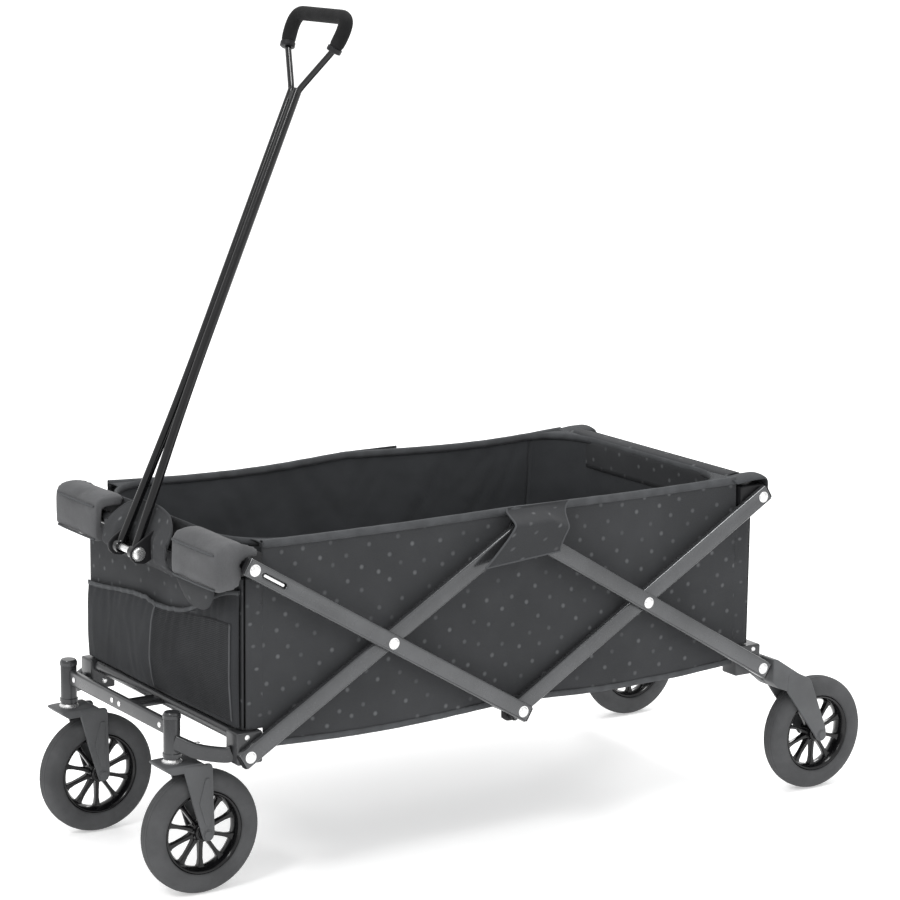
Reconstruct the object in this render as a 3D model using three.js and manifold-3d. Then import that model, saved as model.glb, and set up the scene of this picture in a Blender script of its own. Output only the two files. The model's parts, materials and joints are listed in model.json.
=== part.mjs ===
// Folding wagon with a pull handle.
// Millimetres, +Z up, wheels standing on z = 0. The handle end (front) is at -X.
// Each side has two pairs of crossed bars. They fold the wagon lengthwise: the
// front and rear frames come together while the rim rises on telescoping posts.

import * as THREE from "three";
import { mergeVertices } from "three/addons/utils/BufferGeometryUtils.js";
import Module from "manifold-3d";

const wasm = await Module();
wasm.setup();

// ---- Driving dimensions -------------------------------------------------

// Wheels
const wheelRadius = 90;
const tyreWidth = 36;
const tyreDepth = 30; // from the rim to the tread
const rimDepth = 8; // from the tyre's seat to the opening
const hubRadius = 13;
const hubWidth = 34;
const spokeCount = 10;
const spokeWidth = 4.5;
const spokeThick = 8;
const axleRadius = 4;
const axleClearance = 0.3;
const forkGap = 3; // wheel to fork leg
const forkLeg = 4.5;
const forkCrownGap = 5; // tyre to fork crown
const crownThick = 13;
const bossHeight = 5; // fork crown to steering head

// Crossed side bars
const halfLength = 450; // from the middle pins to the end pins
const pinRise = 268; // from the lower pins to the upper pins
const lowPinOverWheels = 36; // lower pins above the top of the wheels
const barDepth = 26;
const barThick = 11;
const barWall = 1.5;
const barChamfer = 2.5;
const barEnd = 15; // bar beyond its end pin
const barGap = 1.5; // between the two layers of bars
const slotLength = 44;
const slotWidth = 7;

// Pins and rivets
const pinRadius = 5;
const headRadius = 8.5;
const headHeight = 3.5;
const pinClearance = 0.3;
const seatGap = 0.3; // between pieces that touch
const smallSides = 8; // flats around a pin or a hole
const roundSides = 12; // flats around a tube
const wheelSides = 32; // flats around a wheel

// Bin
const binHalfWidth = 232; // middle of the side panels
const rearWallInset = 8; // rear panel ahead of the rear pins
const rimOverPins = 30; // rim above the upper pins
const hemOverPins = 8; // side hem above the lower pins
const floorOverPins = 36; // underside of the floor above the lower pins
const floorThick = 5;
const clothThick = 4;
const panelToBars = 6.5; // from the side panels to the inner bars
const pocketDepth = 20;
const pocketDrop = 110; // pocket's edge below the rim
const pocketSheet = 3;

// Corner posts
const postInset = 14; // from the panels to the post axes
const postRadius = 10;
const postWall = 1.8;
const rodClearance = 0.4;

// Frame tubes and fittings
const railRadius = 9;
const railWall = 1.5;
const topRailRadius = 10;
const topRailReach = 24; // top front rail ahead of the front panel
const footRodRadius = 8;
const hubPlate = 15; // radius of the upper middle hubs

// Steering heads and beam
const headReach = 74; // steering axes ahead of the front pins
const headY = 160;
const headRadiusOuter = 12;
const headLength = 67;
const stemRadius = 7;
const trail = 43; // front axles behind the steering axes
const beamHeight = 22;
const beamThick = 10;
const beamDrop = 25; // middle of the beam below the top of the heads

// Rear wheels, each in a fixed fork
const rearAxleReach = 124; // behind the rear pins
const rearWheelOutset = 7; // outside the middle of the side panels

// Handle
const handleReach = 58; // pivot ahead of the front pins
const handleDrop = 17; // pivot below the upper pins
const handleTilt = 23.3; // degrees back from upright
const handleTube = 6.5; // radius
const footSpread = 22.5; // half the distance between the rods at the pivot
const neckSpread = 7.2; // the same where the rods run side by side
const neckStart = 243;
const neckEnd = 686;
const gripHalfWidth = 74;
const gripShoulder = 776;
const gripHeight = 812;
const gripRadius = 12;
const cheekGap = 3;
const cheekThick = 4;

// ---- Worked out from the values above -----------------------------------

const lowPin = 2 * wheelRadius + lowPinOverWheels;
const highPin = lowPin + pinRise;
const midPin = (lowPin + highPin) / 2;
const barAngle = Math.atan2(pinRise, halfLength);
const barLength = Math.hypot(pinRise, halfLength);

const frontWall = -halfLength; // middle of the front panel
const rearWall = halfLength - rearWallInset;
const panelFace = binHalfWidth + clothThick / 2;
const innerBarY = panelFace + panelToBars + barThick / 2;
const outerBarY = innerBarY + barThick + barGap;
const innerFace = innerBarY - (barThick + barGap) / 2; // side faces of the fittings
const rimHeight = highPin + rimOverPins;
const hemHeight = lowPin + hemOverPins;
const floorHeight = lowPin + floorOverPins;
const pocketTop = rimHeight - pocketDrop;

const postY = binHalfWidth - postInset;
const frontPostX = frontWall + postInset;
const rearPostX = rearWall - postInset;
const bracketLow = lowPin - 14;
const bracketHigh = lowPin + 32;
const fittingLow = highPin - 14;
const fittingHigh = highPin + 18;
const postTop = fittingLow - 4;
const rodFoot = bracketLow + 6;
const fittingInside = postY - postRadius - 3;
const footRodEnd = innerFace - 14; // inner end of a middle foot
const frontRailHeight = lowPin + 22;
const rearRailHeight = lowPin + 8;
const topRailX = frontWall - topRailReach;

const headX = -halfLength - headReach;
const headLow = 2 * wheelRadius + forkCrownGap + crownThick + bossHeight;
const headHigh = headLow + headLength;
const beamMiddle = headHigh - beamDrop;
const frontAxleX = headX + trail;
const rearAxleX = halfLength + rearAxleReach;
const rearWheelY = binHalfWidth + rearWheelOutset;
const rimRadius = wheelRadius - tyreDepth;
const rimOpening = rimRadius - rimDepth;
const handleX = -halfLength - handleReach;
const handleZ = highPin - handleDrop;

// ---- Finishes -----------------------------------------------------------

const finish = (color, roughness, metalness) => ({ color, roughness, metalness });
const barSteel = finish(0x5b5c5e, 0.4, 0.6);
const frameSteel = finish(0x45464a, 0.45, 0.5);
const blackSteel = finish(0x161617, 0.25, 0.5);
const brightSteel = finish(0xe6e6e6, 0.2, 0.9);
const blackPlastic = finish(0x1d1d1f, 0.5, 0);
const greyPlastic = finish(0x4c4d50, 0.55, 0);
const rubber = finish(0x3a3a3c, 0.85, 0);
const foam = finish(0x1b1b1c, 0.9, 0);
const charcoalCloth = finish(0x3a3b3d, 0.95, 0);
const darkCloth = finish(0x2b2b2d, 0.95, 0);
const greyCloth = finish(0x5a5a5b, 0.95, 0);

// ---- Tools --------------------------------------------------------------

const wagon = new THREE.Group();

function toSolid(geometry) {
  const bare = geometry.index ? geometry.toNonIndexed() : geometry.clone();
  for (const name of Object.keys(bare.attributes)) {
    if (name !== "position") bare.deleteAttribute(name);
  }
  const merged = mergeVertices(bare, 1e-4);
  return new wasm.Manifold(new wasm.Mesh({
    numProp: 3,
    vertProperties: new Float32Array(merged.attributes.position.array),
    triVerts: new Uint32Array(merged.index.array),
  }));
}

function toGeometry(solid) {
  const mesh = solid.getMesh();
  const geometry = new THREE.BufferGeometry();
  geometry.setAttribute("position", new THREE.BufferAttribute(mesh.vertProperties, 3));
  geometry.setIndex(new THREE.BufferAttribute(mesh.triVerts, 1));
  return geometry;
}

const join = (...pieces) => pieces.map(toSolid).reduce((sum, piece) => sum.add(piece));
const cut = (solid, ...pieces) => pieces.map(toSolid).reduce((rest, piece) => rest.subtract(piece), solid);

function add(parent, name, shape, look) {
  const geometry = shape instanceof THREE.BufferGeometry ? shape : toGeometry(shape);
  const mesh = new THREE.Mesh(geometry, new THREE.MeshStandardMaterial(look));
  mesh.name = name;
  parent.add(mesh);
  return mesh;
}

function box(x0, x1, y0, y1, z0, z1) {
  return new THREE.BoxGeometry(x1 - x0, Math.abs(y1 - y0), z1 - z0)
    .translate((x0 + x1) / 2, (y0 + y1) / 2, (z0 + z1) / 2);
}

// A round bar along Y between two values of y.
function rodY(radius, x, z, y0, y1, sides = roundSides) {
  return new THREE.CylinderGeometry(radius, radius, Math.abs(y1 - y0), sides)
    .translate(x, (y0 + y1) / 2, z);
}

// A round bar along Z between two heights.
function rodZ(radius, x, y, z0, z1, sides = roundSides) {
  return new THREE.CylinderGeometry(radius, radius, z1 - z0, sides)
    .rotateX(Math.PI / 2).translate(x, y, (z0 + z1) / 2);
}

// Radius of a many-sided hole whose flats clear a round pin of the given radius.
const boreFor = (pin, clearance, count = roundSides) => (pin + clearance) / Math.cos(Math.PI / count);

// An outline in X and Z, made as thick as the distance between two values of y.
function plateY(outline, y0, y1) {
  const shape = outline instanceof THREE.Shape ? outline
    : new THREE.Shape(outline.map(([x, z]) => new THREE.Vector2(x, z)));
  return new THREE.ExtrudeGeometry(shape, { depth: Math.abs(y1 - y0), bevelEnabled: false, curveSegments: 8 })
    .rotateX(Math.PI / 2).translate(0, Math.max(y0, y1), 0);
}

// An outline in Y and Z, made as thick as the distance between two values of x.
function plateX(outline, x0, x1) {
  const shape = new THREE.Shape(outline.map(([y, z]) => new THREE.Vector2(y, z)));
  const turn = new THREE.Matrix4().makeBasis(
    new THREE.Vector3(0, 1, 0), new THREE.Vector3(0, 0, 1), new THREE.Vector3(1, 0, 0));
  return new THREE.ExtrudeGeometry(shape, { depth: x1 - x0, bevelEnabled: false })
    .applyMatrix4(turn).translate(x0, 0, 0);
}

// A section swept along a curve.
function sweep(section, curve, steps) {
  return new THREE.ExtrudeGeometry(section, { steps, extrudePath: curve, curveSegments: 2 });
}

function circle(radius, sides = smallSides) {
  const points = [];
  for (let i = 0; i < sides; i++) {
    const turn = (2 * Math.PI * (i + 0.5)) / sides;
    points.push(new THREE.Vector2(radius * Math.cos(turn), radius * Math.sin(turn)));
  }
  return points;
}

const sides = [["left", -1], ["right", 1]]; // as seen when walking ahead of the wagon

// ---- Side bars ----------------------------------------------------------

function barSection() {
  const [w, d, c] = [barThick / 2, barDepth / 2, barChamfer];
  return [[w - c, -d], [w, c - d], [w, d - c], [w - c, d], [c - w, d], [-w, d - c], [-w, c - d], [c - w, -d]];
}

// A flat tube along X around its middle pin. outward is the y direction of its outer face.
function sideBar(outward, slotted) {
  const reach = barLength / 2 + barEnd;
  const tube = toSolid(plateX(barSection(), -reach, reach));
  const bore = box(-reach - 1, reach + 1, barWall - barThick / 2, barThick / 2 - barWall,
    barWall - barDepth / 2, barDepth / 2 - barWall);
  const holes = [-barLength / 2, 0, barLength / 2]
    .map((x) => rodY(boreFor(pinRadius, pinClearance, smallSides), x, 0, -barThick, barThick, smallSides));
  if (slotted) {
    const start = headRadius + 6 - barLength / 2;
    holes.push(box(start, start + slotLength, 0, outward * barThick, -slotWidth / 2, slotWidth / 2));
  }
  return cut(tube, bore, ...holes);
}

function addBar(name, side, layer, x, angle, slotted) {
  const bar = add(wagon, name, sideBar(side, slotted), barSteel);
  bar.position.set(x, side * layer, midPin);
  bar.rotation.y = angle;
}

function crossRivet(x, side) {
  const inside = side * (innerBarY - barThick / 2 - seatGap);
  const outside = side * (outerBarY + barThick / 2 + seatGap);
  return join(
    rodY(pinRadius, x, midPin, inside, outside + side * 0.5, smallSides),
    rodY(headRadius, x, midPin, inside - side * 1.2, inside),
    rodY(headRadius, x, midPin, outside, outside + side * headHeight),
  );
}

for (const [word, side] of sides) {
  addBar(`front_bar_outer_${word}`, side, outerBarY, -halfLength / 2, barAngle, true);
  addBar(`front_bar_inner_${word}`, side, innerBarY, -halfLength / 2, -barAngle, false);
  addBar(`rear_bar_outer_${word}`, side, outerBarY, halfLength / 2, barAngle, false);
  addBar(`rear_bar_inner_${word}`, side, innerBarY, halfLength / 2, -barAngle, false);
  add(wagon, `front_cross_rivet_${word}`, crossRivet(-halfLength / 2, side), brightSteel);
  add(wagon, `rear_cross_rivet_${word}`, crossRivet(halfLength / 2, side), brightSteel);
}

// ---- Pins that the bars turn on -----------------------------------------

// Shapes of a pin that sticks out from a fitting's side face through a bar.
function pinThrough(x, z, side, from, layer) {
  const barFace = layer + barThick / 2 + seatGap;
  const shapes = [
    rodY(pinRadius, x, z, side * (from - 1), side * (barFace + 0.5), smallSides),
    rodY(headRadius, x, z, side * barFace, side * (barFace + headHeight)),
  ];
  const spacerEnd = layer - barThick / 2 - seatGap;
  if (spacerEnd - from > 1) shapes.push(rodY(headRadius, x, z, side * (from - 1), side * spacerEnd));
  return shapes;
}

function middleFoot(side) {
  const outline = [[-20, lowPin - 13], [-12, lowPin - 19], [20, lowPin - 19], [30, lowPin - 10],
    [30, lowPin + 8], [22, lowPin + 15], [-12, lowPin + 15], [-20, lowPin + 9]];
  return join(
    plateY(outline, side * (panelFace + seatGap), side * innerFace),
    box(-14, 22, side * footRodEnd, side * (panelFace + 1), lowPin - 17, hemHeight - 2),
    ...pinThrough(0, lowPin, side, innerFace, outerBarY).slice(0, 2),
  );
}

function middleHub(side) {
  return join(
    rodY(hubPlate, 0, highPin, side * (panelFace + 0.8), side * innerFace),
    ...pinThrough(0, highPin, side, innerFace, outerBarY).slice(0, 2),
  );
}

for (const [word, side] of sides) {
  add(wagon, `middle_foot_${word}`, middleFoot(side), blackPlastic);
  add(wagon, `middle_hub_${word}`, middleHub(side), blackPlastic);
}
const crossRodEnd = footRodEnd - seatGap;
add(wagon, "middle_cross_rod", cut(
  toSolid(rodY(footRodRadius, 4, lowPin - 6, -crossRodEnd, crossRodEnd)),
  rodY(footRodRadius - railWall, 4, lowPin - 6, -crossRodEnd - 1, crossRodEnd + 1),
), frameSteel);

// ---- Corner posts, brackets and top fittings ----------------------------

// Lower bracket of one corner with its outer post and its pin.
function cornerPost(postX, pinX, side, layer) {
  const low = Math.min(pinX - 14, postX - 12);
  const high = Math.max(pinX + 14, postX + 12);
  const body = join(
    box(low, high, side * fittingInside, side * innerFace, bracketLow, bracketHigh),
    rodZ(postRadius, postX, side * postY, bracketHigh - 1, postTop),
    ...pinThrough(pinX, lowPin, side, innerFace, layer),
  );
  const bore = rodZ(postRadius - postWall, postX, side * postY, bracketLow - 1, postTop + 1);
  return cut(body, bore);
}

// Top fitting of one corner with the rod that slides in the post below and its pin.
function topFitting(postX, frontX, rearX, pinX, side, layer) {
  return join(
    box(frontX, rearX, side * fittingInside, side * innerFace, fittingLow, fittingHigh),
    rodZ(postRadius - postWall - rodClearance, postX, side * postY, rodFoot, fittingLow + 1),
    ...pinThrough(pinX, highPin, side, innerFace, layer),
  );
}

function tubeY(radius, wall, x, z, end) {
  return cut(toSolid(rodY(radius, x, z, -end, end)), rodY(radius - wall, x, z, -end - 1, end + 1));
}

for (const [word, side] of sides) {
  add(wagon, `front_corner_post_${word}`, cornerPost(frontPostX, -halfLength, side, innerBarY), frameSteel);
  add(wagon, `rear_corner_post_${word}`, cornerPost(rearPostX, halfLength, side, outerBarY), frameSteel);
  add(wagon, `front_top_fitting_${word}`,
    topFitting(frontPostX, topRailX - 12, frontPostX + 12, -halfLength, side, outerBarY), blackPlastic);
  add(wagon, `rear_top_fitting_${word}`,
    topFitting(rearPostX, rearPostX - 12, halfLength + 12, halfLength, side, innerBarY), blackPlastic);
}

const railEnd = fittingInside - seatGap;
add(wagon, "front_low_rail", tubeY(railRadius, railWall, -halfLength, frontRailHeight, railEnd), frameSteel);
add(wagon, "rear_low_rail", tubeY(railRadius, railWall, halfLength, rearRailHeight, railEnd), frameSteel);
add(wagon, "front_top_rail", tubeY(topRailRadius, railWall, topRailX, highPin, railEnd), frameSteel);
add(wagon, "rear_top_rail", tubeY(postRadius, railWall, rearPostX, highPin, railEnd), frameSteel);

// ---- Steering heads, beam and arms --------------------------------------

function steeringHead(side) {
  return cut(
    toSolid(rodZ(headRadiusOuter, headX, side * headY, headLow, headHigh, 16)),
    rodZ(boreFor(stemRadius, pinClearance), headX, side * headY, headLow - 1, headHigh - 6),
  );
}

// Bent flat arm from the steering head out to the corner bracket.
function steeringArm(side) {
  const route = new THREE.CatmullRomCurve3([
    new THREE.Vector3(headX, side * headY, lowPin + 12),
    new THREE.Vector3(headX + 22, side * (headY + 34), lowPin + 2),
    new THREE.Vector3(frontPostX - 40, side * (postY - 2), lowPin - 2),
    new THREE.Vector3(frontPostX - 20, side * (postY + 4), lowPin + 2),
  ]);
  const [h, w] = [11, 4.5];
  const section = new THREE.Shape([
    new THREE.Vector2(-h, -w), new THREE.Vector2(h, -w), new THREE.Vector2(h, w), new THREE.Vector2(-h, w)]);
  return cut(
    toSolid(sweep(section, route, 12)),
    rodZ(headRadiusOuter + seatGap, headX, side * headY, headLow - 30, headHigh + 1, 16),
    box(-halfLength - 14 - seatGap, frontPostX + 20, side * (fittingInside - seatGap),
      side * (innerFace + 5), bracketLow - 5, bracketHigh + 5),
  );
}

for (const [word, side] of sides) {
  add(wagon, `steering_head_${word}`, steeringHead(side), frameSteel);
  add(wagon, `steering_arm_${word}`, steeringArm(side), frameSteel);
}
const beamEnd = headY - headRadiusOuter - seatGap;
add(wagon, "front_beam", box(headX - beamThick / 2, headX + beamThick / 2, -beamEnd, beamEnd,
  beamMiddle - beamHeight / 2, beamMiddle + beamHeight / 2), frameSteel);
const linkTop = frontRailHeight + 3;
add(wagon, "front_link", box(headX + beamThick / 2 + seatGap, -halfLength - railRadius - seatGap,
  -16, 16, linkTop - 6, linkTop), frameSteel);

// ---- Wheels -------------------------------------------------------------

function tyre() {
  const half = tyreWidth / 2;
  const [seat, top] = [rimRadius + seatGap, wheelRadius];
  const profile = [[seat, -half + 5], [top - 14, -half], [top - 4, -half + 6], [top, -half + 14],
    [top, half - 14], [top - 4, half - 6], [top - 14, half], [seat, half - 5], [seat, -half + 5]];
  return new THREE.LatheGeometry(profile.map(([r, y]) => new THREE.Vector2(r, y)), wheelSides);
}

// One opening between two spokes, as an outline around the wheel's axis.
function spokeWindow(index) {
  const step = (2 * Math.PI) / spokeCount;
  const [inner, outer] = [hubRadius + 0.5, rimOpening];
  const middle = step * (index + 0.5);
  const corner = (radius, share) => {
    const half = step / 2 - Math.asin(spokeWidth / 2 / radius);
    return [radius * Math.cos(middle + share * half), radius * Math.sin(middle + share * half)];
  };
  return [corner(inner, -1), corner(outer, -1), corner(outer, 0), corner(outer, 1), corner(inner, 1)];
}

function rim() {
  const half = tyreWidth / 2 - 5;
  const ring = cut(toSolid(rodY(rimRadius, 0, 0, -half, half, wheelSides)),
    rodY(rimOpening, 0, 0, -half - 1, half + 1, wheelSides));
  const disc = toSolid(rodY(rimOpening + 1, 0, 0, -spokeThick / 2, spokeThick / 2, wheelSides));
  const windows = [];
  for (let i = 0; i < spokeCount; i++) windows.push(plateY(spokeWindow(i), -spokeThick, spokeThick));
  const hub = toSolid(rodY(hubRadius, 0, 0, -hubWidth / 2, hubWidth / 2, 16));
  return cut(ring.add(cut(disc, ...windows)).add(hub),
    rodY(boreFor(axleRadius, axleClearance), 0, 0, -hubWidth, hubWidth));
}

function addWheel(parent, word, x, y, z) {
  const wheel = new THREE.Group();
  wheel.position.set(x, y, z);
  add(wheel, `${word}_tyre`, tyre(), rubber);
  add(wheel, `${word}_rim`, rim(), blackPlastic);
  parent.add(wheel);
}

const legInside = tyreWidth / 2 + forkGap;
const legOutside = legInside + forkLeg;

// Both legs of a fork and the axle between them, around a wheel whose middle is at y = 0.
function forkLegs(outline, x, z) {
  return [
    plateY(outline, -legOutside, -legInside),
    plateY(outline, legInside, legOutside),
    rodY(axleRadius, x, z, -legOutside, legOutside),
    rodY(headRadius, x, z, -legOutside - 2.5, -legOutside + 0.5),
    rodY(headRadius, x, z, legOutside - 0.5, legOutside + 2.5),
  ];
}

// Swivelling fork around its steering axis at x = 0, y = 0.
function casterFork() {
  const crown = 2 * wheelRadius + forkCrownGap;
  const crownTop = crown + crownThick;
  const leg = [[4, crownTop - 2], [trail + 8, crownTop - 4], [trail + 11, wheelRadius],
    [trail + 6, wheelRadius - 9], [trail - 6, wheelRadius - 9], [trail - 10, wheelRadius + 4],
    [trail - 24, wheelRadius + 50]];
  const crownPlate = [[-24, crown + 9], [-24, crownTop - 1], [-14, crownTop], [34, crownTop],
    [44, crownTop - 8], [44, crown], [-12, crown]];
  return join(
    ...forkLegs(leg, trail, wheelRadius),
    plateY(crownPlate, -legOutside, legOutside),
    rodZ(headRadiusOuter + 1, 0, 0, crownTop - 1, headLow - 0.6, 16),
    rodZ(stemRadius, 0, 0, crownTop - 1, headHigh - 10),
  );
}

for (const [word, side] of sides) {
  const caster = new THREE.Group();
  caster.position.set(headX, side * headY, 0);
  add(caster, `caster_fork_${word}`, casterFork(), greyPlastic);
  addWheel(caster, `front_${word}`, trail, 0, wheelRadius);
  wagon.add(caster);
  addWheel(wagon, `rear_${word}`, rearAxleX, side * rearWheelY, wheelRadius);
}

// Fixed rear fork: an arm from the corner bracket, a crown over the tyre and two legs.
function rearFork(side) {
  const [ax, az] = [rearAxleX, wheelRadius];
  const start = halfLength + 14 + seatGap;
  const crown = [[start, lowPin + 12], [start + 14, lowPin + 10], [ax - 50, az + 107], [ax - 34, az + 98],
    [ax - 41, az + 88], [ax - 69, az + 80], [ax - 90, az + 88], [start, az + 104]];
  const leg = [[ax - 72, az + 110], [ax - 50, az + 107], [ax - 26, az + 95], [ax + 9, az + 8],
    [ax + 9, az - 5], [ax + 4, az - 10], [ax - 5, az - 10], [ax - 10, az - 4], [ax - 74, az + 82]];
  const fork = join(...forkLegs(leg, ax, az), plateY(crown, -legOutside, legOutside));
  const barSweep = Math.hypot(barEnd, barDepth / 2) + 1.5;
  const room = rodY(barSweep, halfLength, lowPin, innerBarY - barThick - rearWheelY,
    legOutside + 10, 16);
  return toGeometry(cut(fork, side > 0 ? room : room.rotateZ(Math.PI).translate(2 * halfLength, 0, 0)))
    .translate(0, side * rearWheelY, 0);
}

for (const [word, side] of sides) add(wagon, `rear_fork_${word}`, rearFork(side), greyPlastic);

// ---- Handle -------------------------------------------------------------

// Two rods from the pivot that meet, run side by side and open into a grip.
// Local frame: z along the handle from its pivot, y across the wagon.
const along = (y, z) => new THREE.Vector3(0, y, z);
const gripSteps = 32;

function gripCurve(shoulderOnly) {
  const path = new THREE.CurvePath();
  const low = shoulderOnly ? gripShoulder - 18 : neckEnd;
  const slope = (gripHalfWidth - neckSpread) / (gripShoulder - neckEnd);
  const sideAt = (z) => neckSpread + slope * (z - neckEnd);
  const shoulder = (y) => along(y * sideAt(gripShoulder - 12), gripShoulder - 12);
  const corner = (y) => along(y * (gripHalfWidth + 8), gripHeight);
  const top = (y) => along(y * (gripHalfWidth - 22), gripHeight);
  path.add(new THREE.LineCurve3(along(-sideAt(low), low), shoulder(-1)));
  path.add(new THREE.QuadraticBezierCurve3(shoulder(-1), corner(-1), top(-1)));
  path.add(new THREE.LineCurve3(top(-1), top(1)));
  path.add(new THREE.QuadraticBezierCurve3(top(1), corner(1), shoulder(1)));
  path.add(new THREE.LineCurve3(shoulder(1), along(sideAt(low), low)));
  return path;
}

function handleFrame() {
  const section = new THREE.Shape(circle(handleTube));
  const pieces = [sweep(section, gripCurve(false), gripSteps)];
  const eyes = [];
  for (const [, side] of sides) {
    const foot = along(side * footSpread, 0);
    const neckLow = along(side * neckSpread, neckStart);
    const neckHigh = along(side * neckSpread, neckEnd + 4);
    pieces.push(sweep(section, new THREE.LineCurve3(foot, neckLow), 1));
    pieces.push(sweep(section, new THREE.LineCurve3(along(side * neckSpread, neckStart - 1), neckHigh), 1));
    pieces.push(rodY(handleTube + 3, 0, 0, side * (footSpread - 6), side * (footSpread + 6)));
    eyes.push(rodY(boreFor(pinRadius, pinClearance), 0, 0, side * (footSpread - 8), side * (footSpread + 8)));
  }
  return cut(join(...pieces), ...eyes);
}

function gripSleeve() {
  const outer = new THREE.Shape(circle(gripRadius));
  const bore = new THREE.Shape(circle(handleTube + seatGap));
  return cut(toSolid(sweep(outer, gripCurve(true), 22)), sweep(bore, gripCurve(false), gripSteps));
}

const cheekInside = footSpread + 6 + cheekGap;
const cheekOutside = cheekInside + cheekThick;

// Two cheeks clamped on the top rail with a web between them, behind the handle's feet.
function handleBracket() {
  const outline = [[handleX - 13, handleZ - 5], [handleX - 13, handleZ + 5], [handleX - 6, handleZ + 12],
    [topRailX - 10, highPin + 15], [topRailX + 8, highPin + 15], [topRailX + 15, highPin + 6],
    [topRailX + 15, highPin - 8], [topRailX + 4, highPin - 17], [handleX + 10, handleZ - 16],
    [handleX - 6, handleZ - 13]];
  const body = join(
    plateY(outline, -cheekOutside, -cheekInside),
    plateY(outline, cheekInside, cheekOutside),
    box(handleX + 14, handleX + 18, -cheekInside - 1, cheekInside + 1, handleZ - 12, handleZ + 4),
  );
  return cut(body,
    rodY(topRailRadius + seatGap, topRailX, highPin, -cheekOutside - 1, cheekOutside + 1),
    rodY(boreFor(pinRadius, pinClearance), handleX, handleZ, -cheekOutside - 1, cheekOutside + 1));
}

function handlePin() {
  const face = cheekOutside + seatGap;
  return join(
    rodY(pinRadius, handleX, handleZ, -face - 0.5, face + 0.5),
    rodY(headRadius, handleX, handleZ, face, face + headHeight),
    rodY(headRadius, handleX, handleZ, -face - headHeight, -face),
  );
}

add(wagon, "handle_bracket", handleBracket(), blackPlastic);
add(wagon, "handle_pin", handlePin(), brightSteel);
const handle = new THREE.Group();
handle.position.set(handleX, 0, handleZ);
handle.rotation.y = THREE.MathUtils.degToRad(handleTilt);
add(handle, "handle_frame", handleFrame(), blackSteel);
add(handle, "handle_grip", gripSleeve(), foam);
wagon.add(handle);

// ---- Bin ----------------------------------------------------------------

const half = clothThick / 2;
const notch = fittingInside - 4; // panels stop here beside the corner fittings
const panelLow = floorHeight - 2;
const notchLow = fittingLow - 4;

function sidePanel(side) {
  const [front, rear] = [frontWall + half + seatGap, rearWall - half - seatGap];
  const [frontNotch, rearNotch] = [frontPostX + 16, rearPostX - 16];
  const outline = [[front, panelLow], [frontNotch, panelLow], [frontNotch, hemHeight], [rearNotch, hemHeight],
    [rearNotch, panelLow], [rear, panelLow], [rear, notchLow], [rearNotch, notchLow], [rearNotch, rimHeight],
    [frontNotch, rimHeight], [frontNotch, notchLow], [front, notchLow]];
  return plateY(outline, side * (binHalfWidth - half), side * (binHalfWidth + half));
}

function endPanel(x) {
  const wide = binHalfWidth + half;
  const outline = [[-wide, panelLow], [wide, panelLow], [wide, notchLow], [notch, notchLow],
    [notch, rimHeight], [-notch, rimHeight], [-notch, notchLow], [-wide, notchLow]];
  return plateX(outline, x - half, x + half);
}

function binFloor() {
  const [front, rear] = [frontWall + half + seatGap, rearWall - half - seatGap];
  const wide = binHalfWidth - half - seatGap;
  const [frontNotch, rearNotch] = [frontPostX + 14, rearPostX - 14];
  const across = (y) => [
    box(front, rear, -y, y, floorHeight, floorHeight + floorThick),
    box(frontNotch, rearNotch, -wide, wide, floorHeight, floorHeight + floorThick)];
  return join(...across(notch));
}

// Open-topped pocket: a front sheet, two ends and a bottom against the front panel.
function pocket() {
  const rear = frontWall - half - seatGap;
  const wide = binHalfWidth - 4;
  const low = panelLow + 2;
  return cut(
    toSolid(box(rear - pocketDepth, rear, -wide, wide, low, pocketTop)),
    box(rear - pocketDepth + pocketSheet, rear + 1, pocketSheet - wide, wide - pocketSheet,
      low + pocketSheet, pocketTop + 1),
  );
}

// Padded cover hooked over the top rail and the corner fitting, open towards the bin.
function cornerPad(side) {
  const rear = frontWall - half - seatGap;
  const [front, low, high] = [topRailX - 26, highPin - 34, rimHeight + 6];
  const room = 1.5;
  const outline = [[rear, fittingHigh + room], [rear, high], [front + 14, high], [front + 3, high - 8],
    [front, high - 20], [front + 2, low + 10], [front + 10, low], [topRailX + 14, low],
    [topRailX + 14, fittingLow - room], [topRailX - 12 - room, fittingLow - room],
    [topRailX - 12 - room, fittingHigh + room]];
  return plateY(outline, side * 116, side * (innerFace + 3));
}

for (const [word, side] of sides) {
  add(wagon, `side_panel_${word}`, sidePanel(side), charcoalCloth);
  add(wagon, `corner_pad_${word}`, cornerPad(side), greyCloth);
}
add(wagon, "front_panel", endPanel(frontWall), charcoalCloth);
add(wagon, "rear_panel", endPanel(rearWall), charcoalCloth);
add(wagon, "bin_floor", binFloor(), darkCloth);
add(wagon, "front_pocket", pocket(), darkCloth);

// Middle of the footprint at the origin.
wagon.position.x = -(frontAxleX + rearAxleX) / 2;

export default wagon;
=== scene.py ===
"""A folding wagon with a cloth bin and a tall pull handle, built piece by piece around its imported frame."""

import json
import math

import bmesh
import bpy
from bpy.props import (FloatProperty, FloatVectorProperty, IntProperty,
                       PointerProperty)
from mathutils import Matrix, Vector, noise


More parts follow.
